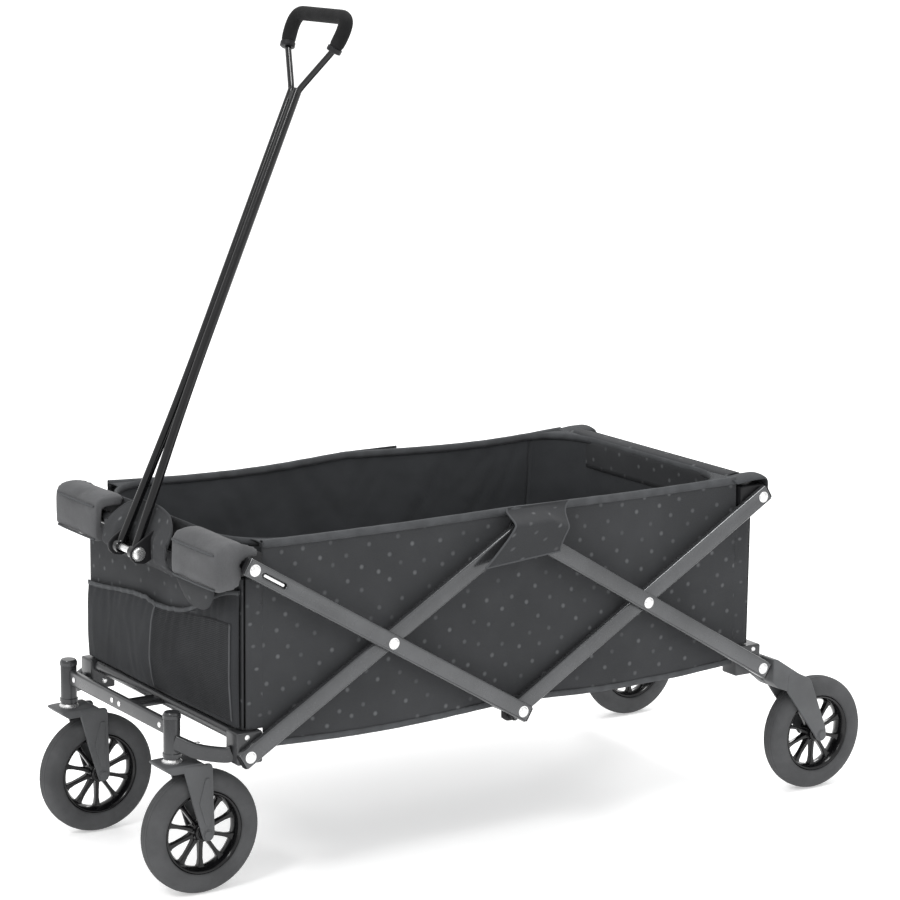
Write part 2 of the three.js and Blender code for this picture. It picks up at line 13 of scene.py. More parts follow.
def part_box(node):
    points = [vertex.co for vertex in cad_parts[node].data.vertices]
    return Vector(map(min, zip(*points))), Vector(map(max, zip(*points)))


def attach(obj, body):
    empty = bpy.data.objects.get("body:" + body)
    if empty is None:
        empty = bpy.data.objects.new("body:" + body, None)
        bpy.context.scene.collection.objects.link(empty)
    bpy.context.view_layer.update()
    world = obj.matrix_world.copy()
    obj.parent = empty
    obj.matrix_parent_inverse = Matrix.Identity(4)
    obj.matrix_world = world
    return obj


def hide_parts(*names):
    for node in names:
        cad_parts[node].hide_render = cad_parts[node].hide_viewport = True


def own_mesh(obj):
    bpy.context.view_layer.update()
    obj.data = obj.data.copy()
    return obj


bl_info = {
    "name": "Folding wagon",
    "version": (1, 0, 0),
    "blender": (4, 5, 0),
    "location": "View3D > Sidebar > Wagon",
    "description": "Makes the cloth, frame, wheels and handle of a folding wagon around its frame",
    "category": "Object",
}

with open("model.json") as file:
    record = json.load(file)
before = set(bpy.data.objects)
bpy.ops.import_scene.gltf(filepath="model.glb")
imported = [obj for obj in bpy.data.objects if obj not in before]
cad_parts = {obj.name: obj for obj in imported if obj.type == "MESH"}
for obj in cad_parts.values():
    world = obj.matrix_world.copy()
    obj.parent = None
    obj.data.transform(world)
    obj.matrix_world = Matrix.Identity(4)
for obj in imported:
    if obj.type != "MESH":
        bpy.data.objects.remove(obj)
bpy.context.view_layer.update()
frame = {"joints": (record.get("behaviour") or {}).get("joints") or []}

# ---- Places that the frame gives ----------------------------------------

MM = 0.001
PIN = {joint["name"]: Vector(joint["pos_m"]) for joint in frame["joints"]}
SIDES = (("left", -1), ("right", 1))
X_AXIS, Y_AXIS, Z_AXIS = Vector((1, 0, 0)), Vector((0, 1, 0)), Vector((0, 0, 1))


def low(node):
    """Lowest corner of one node of the frame."""
    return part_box(node)[0]


def high(node):
    """Highest corner of one node of the frame."""
    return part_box(node)[1]


def outer(node, side):
    """How far from the middle plane a left or right node reaches."""
    return high(node).y if side > 0 else -low(node).y


def inner(node, side):
    """How near to the middle plane a left or right node comes."""
    return low(node).y if side > 0 else -high(node).y


FRONT_LOW, FRONT_HIGH, FRONT_CROSS = PIN["fold"], PIN["front_top_pin"], PIN["front_cross"]
FOOT, HUB = PIN["middle_foot_pin"], PIN["middle_hub_pin"]
REAR_LOW, REAR_HIGH, REAR_CROSS = PIN["rear_low_pin"], PIN["rear_top_pin"], PIN["rear_cross"]
HANDLE = PIN["handle_tilt"]

FRONT_WALL = (low("front_panel").x + high("front_panel").x) / 2
REAR_WALL = (low("rear_panel").x + high("rear_panel").x) / 2
WALL_Y = (low("side_panel_right").y + high("side_panel_right").y) / 2
RIM_Z = high("side_panel_left").z
HEM_Z = low("side_panel_left").z
CORNER_Z = low("front_panel").z
FLOOR_Z = high("bin_floor").z
FOLDED_SHARE = 0.2992  # length of the bin when folded, as a share of its length when open


# ---- Sizes and colours that a user would change --------------------------

def length(name, text, value):
    """A length property in metres."""
    return FloatProperty(name=name, description=text, default=value, min=0.0, unit="LENGTH", subtype="DISTANCE",
                         precision=4)


def colour(name, text, value):
    """A colour property, in linear light."""
    return FloatVectorProperty(name=name, description=text, default=value, min=0.0, max=1.0, size=3,
                               subtype="COLOR")


class WagonCloth(bpy.types.PropertyGroup):
    """Sizes and colours of the bin's cloth."""
    outside: colour("Outside", "Ground colour of the dotted cloth", (0.036, 0.037, 0.039))
    dot: colour("Dot", "Colour of the printed dots", (0.098, 0.101, 0.105))
    lining: colour("Lining", "Colour of the inside of the bin", (0.041, 0.043, 0.046))
    pocket: colour("Pocket", "Colour of the front pocket", (0.026, 0.027, 0.029))
    pad: colour("Pad", "Colour of the corner pads", (0.080, 0.081, 0.084))
    binding: colour("Binding", "Colour of the tape along the edges", (0.050, 0.052, 0.055))
    dot_size: length("Dot size", "Radius of a printed dot", 0.0030)
    dot_space: length("Dot spacing", "Distance between two dots", 0.031)
    thread: length("Thread", "Distance between two threads of the weave", 0.0011)
    thickness: length("Thickness", "Thickness of one layer of cloth", 0.0013)
    tape: length("Tape", "Height of the tape along an edge", 0.0085)
    slack: length("Slack", "How far the rim bows in between its supports", 0.013)


class WagonMetal(bpy.types.PropertyGroup):
    """Sizes and colours of the frame's metal."""
    bar: colour("Bars", "Paint of the flat side bars", (0.066, 0.068, 0.071))
    frame: colour("Frame", "Paint of the tubes and brackets", (0.040, 0.041, 0.043))
    handle: colour("Handle", "Paint of the handle", (0.003, 0.003, 0.0035))
    rivet: colour("Rivets", "Metal of the rivets", (0.80, 0.80, 0.80))
    edge: length("Edge", "Rounding along the edges of bars and plates", 0.0016)
    dome: length("Dome", "Height of a rivet's head", 0.0030)


class WagonWheels(bpy.types.PropertyGroup):
    """Sizes and colours of the wheels and forks."""
    tyre: colour("Tyre", "Colour of the tyres", (0.062, 0.063, 0.065))
    rim: colour("Rim", "Colour of the rims and spokes", (0.004, 0.004, 0.0045))
    fork: colour("Fork", "Colour of the forks", (0.075, 0.077, 0.080))
    spokes: IntProperty(name="Spokes", description="Number of spokes in a wheel", default=10, min=3, max=24)


class WagonStage(bpy.types.PropertyGroup):
    """Camera, light and floor."""
    lens: FloatProperty(name="Lens", description="Focal length of the camera", default=118.84, min=1.0,
                        unit="CAMERA")
    azimuth: FloatProperty(name="Azimuth", description="Way the camera looks, turned from the Y axis to the X axis",
                           default=math.radians(33.69), subtype="ANGLE")
    elevation: FloatProperty(name="Elevation", description="How far the camera looks down",
                             default=math.radians(11.43), subtype="ANGLE")
    roll: FloatProperty(name="Roll", description="Turn of the camera about its own line of sight",
                        default=math.radians(0.69), subtype="ANGLE")
    distance: length("Distance", "From the camera to the point that it looks at", 4.513)
    aim: FloatVectorProperty(name="Aim", description="Point that the camera looks at", default=(0.0, 0.0075, 0.553),
                             size=3, subtype="TRANSLATION")
    floor: colour("Floor", "Colour of the floor and of the light around", (0.90, 0.90, 0.90))
    surround: FloatProperty(name="Surround", description="Strength of the light from all around", default=1.12,
                            min=0.0)


# ---- Nodes of the finishes ----------------------------------------------

class Value:
    """A socket of a finish, so that sums over the surface read as sums."""

    def __init__(self, finish, socket):
        self.finish, self.socket = finish, socket

    def math(self, operation, *others):
        numbers = dict(enumerate((self, *others)))
        return self.finish.node("ShaderNodeMath", {"operation": operation}, numbers)

    def __add__(self, other):
        return self.math("ADD", other)

    def __sub__(self, other):
        return self.math("SUBTRACT", other)

    def __mul__(self, other):
        return self.math("MULTIPLY", other)

    def __truediv__(self, other):
        return self.math("DIVIDE", other)

    def __rsub__(self, other):
        return (self * -1.0) + other

    __radd__, __rmul__ = __add__, __mul__

    def sine(self):
        return self.math("SINE")

    def size(self):
        return self.math("ABSOLUTE")

    def steps(self, start, end):
        """0 below start, 1 above end, and smooth between them."""
        return self.finish.node("ShaderNodeMapRange", {"interpolation_type": "SMOOTHSTEP"},
                                {"Value": self, "From Min": start, "From Max": end})


class Finish:
    """A material with the nodes that colour it."""

    def __init__(self, name, **constants):
        self.material = bpy.data.materials.new(name)
        self.material.use_nodes = True
        self.tree = self.material.node_tree
        self.shader = self.tree.nodes["Principled BSDF"]
        for socket, value in constants.items():
            self.set(socket.replace("_", " "), value)

    def set(self, socket, value):
        """Gives one of the shader's own sockets a number, a colour or a link."""
        self._fill(self.shader.inputs[socket], value)

    def node(self, kind, settings, sockets, output=0):
        """Any node: its type, its settings, what its sockets take, and the output that is used."""
        node = self.tree.nodes.new(kind)
        for name, value in settings.items():
            setattr(node, name, value)
        for name, value in sockets.items():
            self._fill(node.inputs[name], value)
        return Value(self, node.outputs[output])

    def _fill(self, socket, value):
        if isinstance(value, Value):
            self.tree.links.new(value.socket, socket)
        elif hasattr(value, "__len__") and len(value) == 3 and len(socket.default_value) == 4:
            socket.default_value = (*value, 1.0)
        else:
            socket.default_value = value

    def place(self):
        """Point on the surface, in metres, in the wagon's frame."""
        return self.node("ShaderNodeTexCoord", {}, {}, "Object")

    def flat_place(self):
        """Point on the flat cut of the cloth, in metres."""
        return self.node("ShaderNodeTexCoord", {}, {}, "UV")

    def parts(self, vector):
        """The three numbers of a point."""
        split = self.node("ShaderNodeSeparateXYZ", {}, {"Vector": vector})
        outputs = split.socket.node.outputs
        return [Value(self, outputs[i]) for i in range(3)]

    def noise(self, where, scale, detail=3.0, roughness=0.5):
        return self.node("ShaderNodeTexNoise", {}, {
            "Vector": where, "Scale": scale, "Detail": detail, "Roughness": roughness})

    def mix(self, share, first, second):
        """A colour between two colours."""
        return self.node("ShaderNodeMix", {"data_type": "RGBA"}, {0: share, 6: first, 7: second}, 2)

    def bump(self, height, depth, strength=1.0):
        """Turns a height from 0 to 1 into relief that is depth metres deep."""
        normal = self.node("ShaderNodeBump", {}, {"Height": height, "Distance": depth, "Strength": strength})
        self.set("Normal", normal)


def shade(colour, share):
    """A colour made lighter or darker by a share."""
    return tuple(min(1.0, max(0.0, part * share)) for part in colour)


FINISHES = {}


def finish(name):
    """The material of that name, made the first time it is asked for."""
    if name not in FINISHES:
        FINISHES[name] = FINISH_MAKERS[name](name).material
    return FINISHES[name]


def weave(made, where, thread):
    """Height of a plain weave: threads that cross over and under."""
    u, v, _ = made.parts(where)
    turn = 2 * math.pi / thread / 2
    over = (u * turn).sine() * (v * turn).sine()
    return over * 0.5 + 0.5


def woven(name, ground, dots=None, rough=0.86, sheen=0.03):
    """Woven cloth, with printed dots if a colour is given for them."""
    cloth = bpy.context.scene.wagon_cloth
    made = Finish(name, Sheen_Weight=sheen, Sheen_Roughness=0.45, Specular_IOR_Level=0.10)
    where = made.flat_place()
    fade = made.noise(where, 5.0, 4.0, 0.6).steps(0.3, 0.75)
    grain = made.noise(where, 900.0, 2.0)
    base = made.mix(fade, shade(ground, 0.84), shade(ground, 1.18))
    base = made.mix(grain.steps(0.35, 0.7) * 0.35, base, shade(ground, 1.7))
    if dots is not None:
        turned = made.node("ShaderNodeMapping", {"vector_type": "POINT"}, {
            "Vector": where, "Rotation": (0.0, 0.0, math.radians(38))})
        cell = made.node("ShaderNodeTexVoronoi", {"voronoi_dimensions": "2D", "feature": "F1"}, {
            "Vector": turned, "Scale": 1.0 / cloth.dot_space, "Randomness": 0.42})
        reach = cloth.dot_size / cloth.dot_space
        dot = 1.0 - cell.steps(reach * 0.35, reach * 1.55)
        strength = made.noise(where, 24.0, 2.0).steps(0.35, 0.65) * 0.65 + 0.35
        base = made.mix(dot * strength, base, dots)
    made.set("Base Color", base)
    made.set("Roughness", made.noise(where, 60.0) * 0.10 + (rough - 0.05))
    threads = weave(made, where, cloth.thread) * 0.55 + grain * 0.25 + made.noise(where, 90.0) * 0.5
    made.bump(threads, 0.0005, 0.55)
    return made


def dotted_cloth(name):
    cloth = bpy.context.scene.wagon_cloth
    return woven(name, cloth.outside, cloth.dot)


def lining_cloth(name):
    return woven(name, bpy.context.scene.wagon_cloth.lining, None, 0.80, 0.03)


def pocket_cloth(name):
    return woven(name, bpy.context.scene.wagon_cloth.pocket, None, 0.84, 0.02)


def net_cloth(name):
    """Knitted net with small round holes, painted near black as the shade seen through them."""
    cloth = bpy.context.scene.wagon_cloth
    made = Finish(name, Specular_IOR_Level=0.10, Sheen_Weight=0.02)
    where = made.flat_place()
    cell = made.node("ShaderNodeTexVoronoi", {"voronoi_dimensions": "2D", "feature": "F1"}, {
        "Vector": where, "Scale": 1.0 / 0.0026, "Randomness": 0.12})
    hole = 1.0 - cell.steps(0.22, 0.36)
    ground = shade(cloth.pocket, 0.80)
    fade = made.noise(where, 9.0, 3.0).steps(0.3, 0.7)
    yarn = made.mix(fade, ground, shade(ground, 1.5))
    # painted shade: the holes are coloured near black for the shade seen through the net, not for a colour of the net
    made.set("Base Color", made.mix(hole, yarn, shade(ground, 0.30)))
    made.set("Roughness", hole * 0.15 + 0.78)
    made.bump(1.0 - hole, 0.0006, 0.7)
    return made


def pad_cloth(name):
    """Soft covering of the corner pads, with a fine nap."""
    cloth = bpy.context.scene.wagon_cloth
    made = Finish(name, Sheen_Weight=0.08, Sheen_Roughness=0.4, Specular_IOR_Level=0.12)
    where = made.place()
    fade = made.noise(where, 14.0, 4.0, 0.6).steps(0.3, 0.75)
    nap = made.noise(where, 1400.0, 2.0)
    base = made.mix(fade, shade(cloth.pad, 0.82), shade(cloth.pad, 1.18))
    made.set("Base Color", made.mix(nap.steps(0.4, 0.7) * 0.4, base, shade(cloth.pad, 1.45)))
    made.set("Roughness", nap * 0.1 + 0.82)
    made.bump(nap * 0.6 + made.noise(where, 120.0) * 0.6, 0.0007, 0.6)
    return made


def edge_tape(name):
    """Ribbed tape sewn over the edges, with a line of stitches."""
    cloth = bpy.context.scene.wagon_cloth
    made = Finish(name, Sheen_Weight=0.03, Specular_IOR_Level=0.15)
    where = made.flat_place()
    u, v, _ = made.parts(where)
    ribs = (u * (2 * math.pi / 0.0014)).sine() * 0.5 + 0.5
    across = v / cloth.tape
    on_line = 1.0 - (across - 0.5).size().steps(0.40, 0.47)
    fade = made.noise(where, 40.0).steps(0.3, 0.7)
    base = made.mix(fade, shade(cloth.binding, 0.85), shade(cloth.binding, 1.25))
    made.set("Base Color", made.mix(ribs * 0.25, base, shade(cloth.binding, 1.8)))
    made.set("Roughness", fade * 0.1 + 0.74)
    made.bump(ribs * 0.5 + on_line * 0.5, 0.0005, 0.6)
    return made


def painted(name, ground, rough, metallic=0.0, coat=0.15, wear=1.9):
    """Powder paint on steel: a fine orange-peel skin, uneven gloss and slightly rubbed spots."""
    made = Finish(name, Metallic=metallic, Coat_Weight=coat, Coat_Roughness=0.16, Specular_IOR_Level=0.25)
    where = made.place()
    fade = made.noise(where, 11.0, 4.0, 0.6).steps(0.3, 0.75)
    speck = made.noise(where, 420.0, 2.0).steps(0.60, 0.74)
    base = made.mix(fade, shade(ground, 0.86), shade(ground, 1.14))
    made.set("Base Color", made.mix(speck * 0.35, base, shade(ground, wear)))
    made.set("Roughness", made.noise(where, 35.0, 4.0) * 0.16 + (rough - 0.08))
    made.bump(made.noise(where, 700.0, 2.0), 0.00012, 0.5)
    return made


def bar_paint(name):
    return painted(name, bpy.context.scene.wagon_metal.bar, 0.26, 0.60, 0.6)


def frame_paint(name):
    return painted(name, bpy.context.scene.wagon_metal.frame, 0.30, 0.35, 0.35)


def handle_paint(name):
    return painted(name, bpy.context.scene.wagon_metal.handle, 0.16, 0.0, 0.25, 2.5)


def rivet_metal(name):
    """Plated steel with a fine brushed turn."""
    metal = bpy.context.scene.wagon_metal
    made = Finish(name, Metallic=0.85, Specular_IOR_Level=0.6)
    where = made.place()
    fade = made.noise(where, 260.0, 3.0).steps(0.3, 0.75)
    made.set("Base Color", made.mix(fade, shade(metal.rivet, 0.86), metal.rivet))
    made.set("Roughness", made.noise(where, 500.0) * 0.14 + 0.20)
    made.bump(made.noise(where, 900.0), 0.00008, 0.4)
    return made


def moulded(name, ground, rough, grain=650.0, depth=0.00018, coat=0.0):
    """Moulded plastic with a fine spark-eroded skin."""
    made = Finish(name, Coat_Weight=coat, Coat_Roughness=0.14, Specular_IOR_Level=0.22)
    where = made.place()
    fade = made.noise(where, 16.0, 4.0).steps(0.3, 0.75)
    skin = made.noise(where, grain, 3.0)
    base = made.mix(fade, shade(ground, 0.88), shade(ground, 1.15))
    made.set("Base Color", made.mix(skin.steps(0.55, 0.8) * 0.3, base, shade(ground, 1.5)))
    made.set("Roughness", skin * 0.12 + (rough - 0.06))
    made.bump(skin, depth, 0.6)
    return made


def black_plastic(name):
    return moulded(name, (0.010, 0.010, 0.011), 0.42)


def fork_plastic(name):
    return moulded(name, bpy.context.scene.wagon_wheels.fork, 0.44)


def rim_plastic(name):
    return moulded(name, bpy.context.scene.wagon_wheels.rim, 0.20, 500.0, 0.00006, 0.2)


def tyre_rubber(name):
    """Solid tyre: matt foam rubber with fine pores and scuffed spots."""
    wheels = bpy.context.scene.wagon_wheels
    made = Finish(name, Specular_IOR_Level=0.16, Sheen_Weight=0.02)
    where = made.place()
    fade = made.noise(where, 24.0, 4.0, 0.6).steps(0.3, 0.75)
    pores = made.noise(where, 1100.0, 2.0)
    base = made.mix(fade, shade(wheels.tyre, 0.85), shade(wheels.tyre, 1.18))
    made.set("Base Color", made.mix(pores.steps(0.6, 0.75) * 0.5, base, shade(wheels.tyre, 0.55)))
    made.set("Roughness", fade * 0.08 + 0.70)
    made.bump(pores * 0.6 + made.noise(where, 200.0) * 0.4, 0.0003, 0.7)
    return made


def grip_foam(name):
    """Closed-cell foam sleeve of the grip."""
    made = Finish(name, Specular_IOR_Level=0.14, Sheen_Weight=0.02)
    where = made.place()
    cell = made.node("ShaderNodeTexVoronoi", {"feature": "F1"}, {"Vector": where, "Scale": 1300.0})
    fade = made.noise(where, 30.0, 3.0).steps(0.3, 0.7)
    made.set("Base Color", made.mix(fade, (0.006, 0.006, 0.0065), (0.013, 0.013, 0.0135)))
    made.set("Roughness", cell * 0.15 + 0.74)
    made.bump(cell, 0.0004, 0.8)
    return made


def floor_paint(name):
    """Pale studio floor."""
    stage = bpy.context.scene.wagon_stage
    made = Finish(name, Roughness=0.9, Specular_IOR_Level=0.1, Emission_Strength=0.42)
    fade = made.noise(made.place(), 1.5, 2.0).steps(0.2, 0.8)
    made.set("Emission Color", stage.floor)
    made.set("Base Color", made.mix(fade, shade(stage.floor, 0.995), stage.floor))
    return made


FINISH_MAKERS = {
    "dotted_cloth": dotted_cloth, "lining_cloth": lining_cloth, "pocket_cloth": pocket_cloth,
    "net_cloth": net_cloth, "pad_cloth": pad_cloth, "edge_tape": edge_tape,
    "bar_paint": bar_paint, "frame_paint": frame_paint, "handle_paint": handle_paint,
    "rivet_metal": rivet_metal, "black_plastic": black_plastic, "fork_plastic": fork_plastic,
    "rim_plastic": rim_plastic, "tyre_rubber": tyre_rubber, "grip_foam": grip_foam,
    "floor_paint": floor_paint,
}


# ---- Shapes --------------------------------------------------------------

def arc(centre, radius, start, end, steps):
    """Points on an arc in a plane, from one angle to another in degrees."""
    turns = [math.radians(start + (end - start) * i / steps) for i in range(steps + 1)]
    return [(centre[0] + radius * math.cos(t), centre[1] + radius * math.sin(t)) for t in turns]


def circle(radius, steps):
    """Points of a round outline about the origin."""
    turns = [2 * math.pi * i / steps for i in range(steps)]
    return [(radius * math.cos(turn), radius * math.sin(turn)) for turn in turns]


def rounded_corners(points, radius, steps=4, closed=True):
    """The outline with each corner replaced by a smooth bend that starts radius away from it."""
    vectors = [Vector(p) for p in points]
    count, bent = len(vectors), []
    for i, corner in enumerate(vectors):
        if not closed and i in (0, count - 1):
            bent.append(corner)
            continue
        before, after = vectors[i - 1] - corner, vectors[(i + 1) % count] - corner
        start = corner + before.normalized() * min(radius, before.length * 0.48)
        end = corner + after.normalized() * min(radius, after.length * 0.48)
        for k in range(steps + 1):
            t = k / steps
            bent.append(start * (1 - t) ** 2 + corner * (2 * t * (1 - t)) + end * t ** 2)
    return bent


def slot_outline(x0, x1, height, steps=8):
    """A long hole with round ends, along the first axis."""
    half = height / 2
    return arc((x1 - half, 0), half, -90, 90, steps) + arc((x0 + half, 0), half, 90, 270, steps)


def smooth(low_end, high_end, value):
    """0 below low_end, 1 above high_end, and smooth between them."""
    t = min(1.0, max(0.0, (value - low_end) / (high_end - low_end)))
    return t * t * (3 - 2 * t)


class Shape:
    """A mesh that is put together from plates, tubes, turned pieces and sheets."""

    def __init__(self):
        self.bm = bmesh.new()
        self.uv = self.bm.loops.layers.uv.new("Cut")

    def skin(self, rings, closed_along=False):
        """Skins between rings that all have the same number of points, and closes the first and last one."""
        made = [[self.bm.verts.new(p) for p in ring] for ring in rings]
        count = len(made[0])
        pairs = list(zip(made, made[1:])) + ([(made[-1], made[0])] if closed_along else [])
        for first, second in pairs:
            for i in range(count):
                j = (i + 1) % count
                self.bm.faces.new((first[i], first[j], second[j], second[i]))
        if not closed_along:
            self.bm.faces.new(made[0][::-1])
            self.bm.faces.new(made[-1])

    def turned(self, profile, centre, axis, steps=32):
        """Turns a profile of (radius, place along the axis) about an axis. A radius of 0 closes the end."""
        axis = Vector(axis).normalized()
        across = axis.orthogonal().normalized()
        other = axis.cross(across)
        rings = []
        for radius, along in profile:
            radius = max(radius, 1e-5)
            rings.append([Vector(centre) + axis * along
                          + (across * math.cos(2 * math.pi * i / steps)
                             + other * math.sin(2 * math.pi * i / steps)) * radius for i in range(steps)])
        whole = (Vector(profile[0]) - Vector(profile[-1])).length < 1e-9
        self.skin(rings[:-1] if whole else rings, closed_along=whole)
        return self

    def sweep(self, section, path, up, taper=None):
        """Runs a closed section of (across, up) points along a path."""
        path = [Vector(p) for p in path]
        count, rings, side = len(path), [], None
        for i, point in enumerate(path):
            way = path[min(i + 1, count - 1)] - path[max(i - 1, 0)]
            way.normalize()
            side = way.cross(up) if side is None else side - way * side.dot(way)
            side.normalize()
            rise = side.cross(way)
            scale = 1.0 if taper is None else taper(i / max(count - 1, 1))
            rings.append([point + side * (a * scale) + rise * (b * scale) for a, b in section])
        self.skin(rings)
        return self

    def tube(self, path, radius, bend=0.0, steps=20, up=(0.3, 0.2, 1.0)):
        """A round tube along a path whose corners are bent, with softly rounded ends."""
        points = [Vector(p) for p in path]
        if bend and len(points) > 2:
            points = rounded_corners(points, bend, 8, False)
        edge = radius * 0.18
        first, last = (points[1] - points[0]).normalized(), (points[-1] - points[-2]).normalized()
        points = [points[0], points[0] + first * edge] + points[1:-1] + [points[-1] - last * edge, points[-1]]
        total = len(points) - 1
        return self.sweep(circle(radius, steps), points, Vector(up),
                          taper=lambda t: 0.82 if round(t * total) in (0, total) else 1)

    def plate(self, outlines, thickness, centre, across, up, edge=0.0016):
        """A flat plate with rounded edges. The first outline is its edge, the others are its holes."""
        across, up = Vector(across).normalized(), Vector(up).normalized()
        curve = bpy.data.curves.new("outline", "CURVE")
        curve.dimensions, curve.fill_mode = "2D", "BOTH"
        edge = min(edge, thickness * 0.45)
        curve.extrude, curve.bevel_depth, curve.bevel_resolution, curve.offset = (
            thickness / 2 - edge, edge, 2, -edge)
        for outline in outlines:
            spline = curve.splines.new("POLY")
            spline.points.add(len(outline) - 1)
            for point, (u, v) in zip(spline.points, outline):
                point.co = (u, v, 0.0, 1.0)
            spline.use_cyclic_u = True
        holder = bpy.data.objects.new("outline", curve)
        mesh = bpy.data.meshes.new_from_object(holder)
        turn = Matrix((across, up, across.cross(up))).transposed().to_4x4()
        mesh.transform(Matrix.Translation(Vector(centre)) @ turn)
        self.take(mesh)
        bpy.data.objects.remove(holder)
        bpy.data.curves.remove(curve)
        return self

    def box(self, low_corner, high_corner, edge=0.0015, steps=2):
        """A block with rounded edges."""
        lo, hi = Vector(low_corner), Vector(high_corner)
        block = bmesh.new()
        bmesh.ops.create_cube(block, size=1.0)
        for vert in block.verts:
            vert.co = Vector((lo[k] + (vert.co[k] + 0.5) * (hi[k] - lo[k]) for k in range(3)))
        bmesh.ops.bevel(block, geom=block.edges[:], offset=min(edge, min(hi - lo) * 0.45), segments=steps,
                        affect="EDGES", profile=0.5)
        mesh = bpy.data.meshes.new("block")
        block.to_mesh(mesh)
        block.free()
        return self.take(mesh)

    def rivet(self, centre, axis, radius=0.0085, dome=0.003, washer=0.0):
        """A domed rivet head that stands on a face, with a washer under it if one is given."""
        profile = [(0.0, 0.0)]
        if washer:
            profile += [(radius * 1.22, 0.0), (radius * 1.22, washer * 0.8), (radius * 1.16, washer)]
        profile += [(radius * 0.98, washer), (radius, washer + dome * 0.25)]
        profile += [(radius * math.cos(math.radians(a)), washer + dome * (0.25 + 0.75 * math.sin(math.radians(a))))
                    for a in (20, 35, 50, 65, 78)] + [(0.0, washer + dome)]
        return self.turned(profile, centre, axis, 28)

    def sheet(self, point, columns, rows):
        """A grid of cloth: point(s, t) gives the place for shares s and t from 0 to 1."""
        places = [[Vector(point(i / columns, j / rows)) for i in range(columns + 1)] for j in range(rows + 1)]
        verts = [[self.bm.verts.new(p) for p in row] for row in places]
        us, vs = [0.0], [0.0]
        middle = places[rows // 2]
        for i in range(columns):
            us.append(us[-1] + (middle[i + 1] - middle[i]).length)
        centre_column = [row[columns // 2] for row in places]
        for j in range(rows):
            vs.append(vs[-1] + (centre_column[j + 1] - centre_column[j]).length)
        for j in range(rows):
            for i in range(columns):
                face = self.bm.faces.new((verts[j][i], verts[j][i + 1], verts[j + 1][i + 1], verts[j + 1][i]))
                for loop, (a, b) in zip(face.loops, ((i, j), (i + 1, j), (i + 1, j + 1), (i, j + 1))):
                    loop[self.uv].uv = (us[a], vs[b])
        return self

    def band(self, path, profile):
        """Lays a band along an edge: profile gives (outward, up) points across the band."""
        path = [Vector(p) for p in path]
        last, rows = len(path) - 1, len(profile) - 1
        sides = []
        for i in range(last + 1):
            way = path[min(i + 1, last)] - path[max(i - 1, 0)]
            sides.append(Vector((way.y, -way.x, 0)).normalized() if way.xy.length > 1e-9 else Vector((0, 0, 0)))

        def point(s, t):
            i = round(s * last)
            out, up = profile[round(t * rows)]
            return path[i] + sides[i] * out + Z_AXIS * up
        return self.sheet(point, last, rows)

    def take(self, mesh):
        """Adds another mesh and removes it."""
        self.bm.from_mesh(mesh)
        bpy.data.meshes.remove(mesh)
        return self

    def mesh(self, name, sharp=38.0, weld=2e-5):
        """The finished mesh, smooth except along edges sharper than the angle in degrees."""
        bmesh.ops.remove_doubles(self.bm, verts=self.bm.verts[:], dist=weld)
        bmesh.ops.recalc_face_normals(self.bm, faces=self.bm.faces[:])
        mesh = bpy.data.meshes.new(name)
        self.bm.to_mesh(mesh)
        self.bm.free()
        mesh.shade_smooth()
        mesh.set_sharp_from_angle(angle=math.radians(sharp))
        return mesh


# ---- Pieces --------------------------------------------------------------

def put(name, shape, finish_name, body, stands_for=(), sharp=38.0, folds=False, thick=0.0, soften=0):
    """Makes a piece of the wagon: its finish, the body it rides on and the nodes that it stands for."""
    mesh = shape if isinstance(shape, bpy.types.Mesh) else shape.mesh(name, sharp)
    piece = bpy.data.objects.new(name, mesh)
    bpy.context.scene.collection.objects.link(piece)
    mesh.materials.append(finish(finish_name))
    if thick:
        layer = piece.modifiers.new("layer", "SOLIDIFY")
        layer.thickness, layer.offset, layer.use_even_offset = thick, 0.0, True
    if soften:
        fine = piece.modifiers.new("fine", "SUBSURF")
        fine.levels = fine.render_levels = soften
    if piece.modifiers:
        apply_modifiers(piece)
    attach(piece, body)
    if stands_for:
        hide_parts(*stands_for)
    if folds:
        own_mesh(piece)
    return piece


def apply_modifiers(piece):
    """Turns the piece's modifiers into plain mesh."""
    bpy.context.view_layer.update()
    graph = bpy.context.evaluated_depsgraph_get()
    mesh = bpy.data.meshes.new_from_object(piece.evaluated_get(graph), preserve_all_data_layers=True, depsgraph=graph)
    piece.modifiers.clear()
    old, piece.data = piece.data, mesh
    mesh.name = piece.name
    bpy.data.meshes.remove(old)


def inflate(piece, frames, pressure, most, voxel):
    """Swells a closed piece like a stuffed cover, moving no point further than most metres."""
    remesh = piece.modifiers.new("cells", "REMESH")
    remesh.mode, remesh.voxel_size, remesh.use_smooth_shade = "VOXEL", voxel, True
    apply_modifiers(piece)
    start = [v.co.copy() for v in piece.data.vertices]
    cloth = piece.modifiers.new("swell", "CLOTH")
    cloth.settings.use_pressure = True
    cloth.settings.uniform_pressure_force = pressure
    cloth.settings.effector_weights.gravity = 0.0
    cloth.settings.quality = 6
    scene = bpy.context.scene
    for number in range(1, frames + 1):
        scene.frame_set(number)
    apply_modifiers(piece)
    scene.frame_set(1)
    for vert, before in zip(piece.data.vertices, start):
        move = vert.co - before
        if move.length > most:
            vert.co = before + move.normalized() * most
    piece.data.shade_smooth()


def pose_line(start, end):
    """Middle, way along and way across of a flat bar between two pins."""
    way = Vector((end.x - start.x, 0, end.z - start.z))
    return (start + end) / 2, way.normalized(), Vector((-way.z, 0, way.x)).normalized(), way.length / 2


BAR_DEPTH = 26 * MM
BAR_END = 15 * MM
PLUG = 2 * MM
PIN_HEAD = 8.5 * MM
RIVET_HEAD = 6.9 * MM
GAP = 0.75 * MM  # between a bracket and the nearest bar


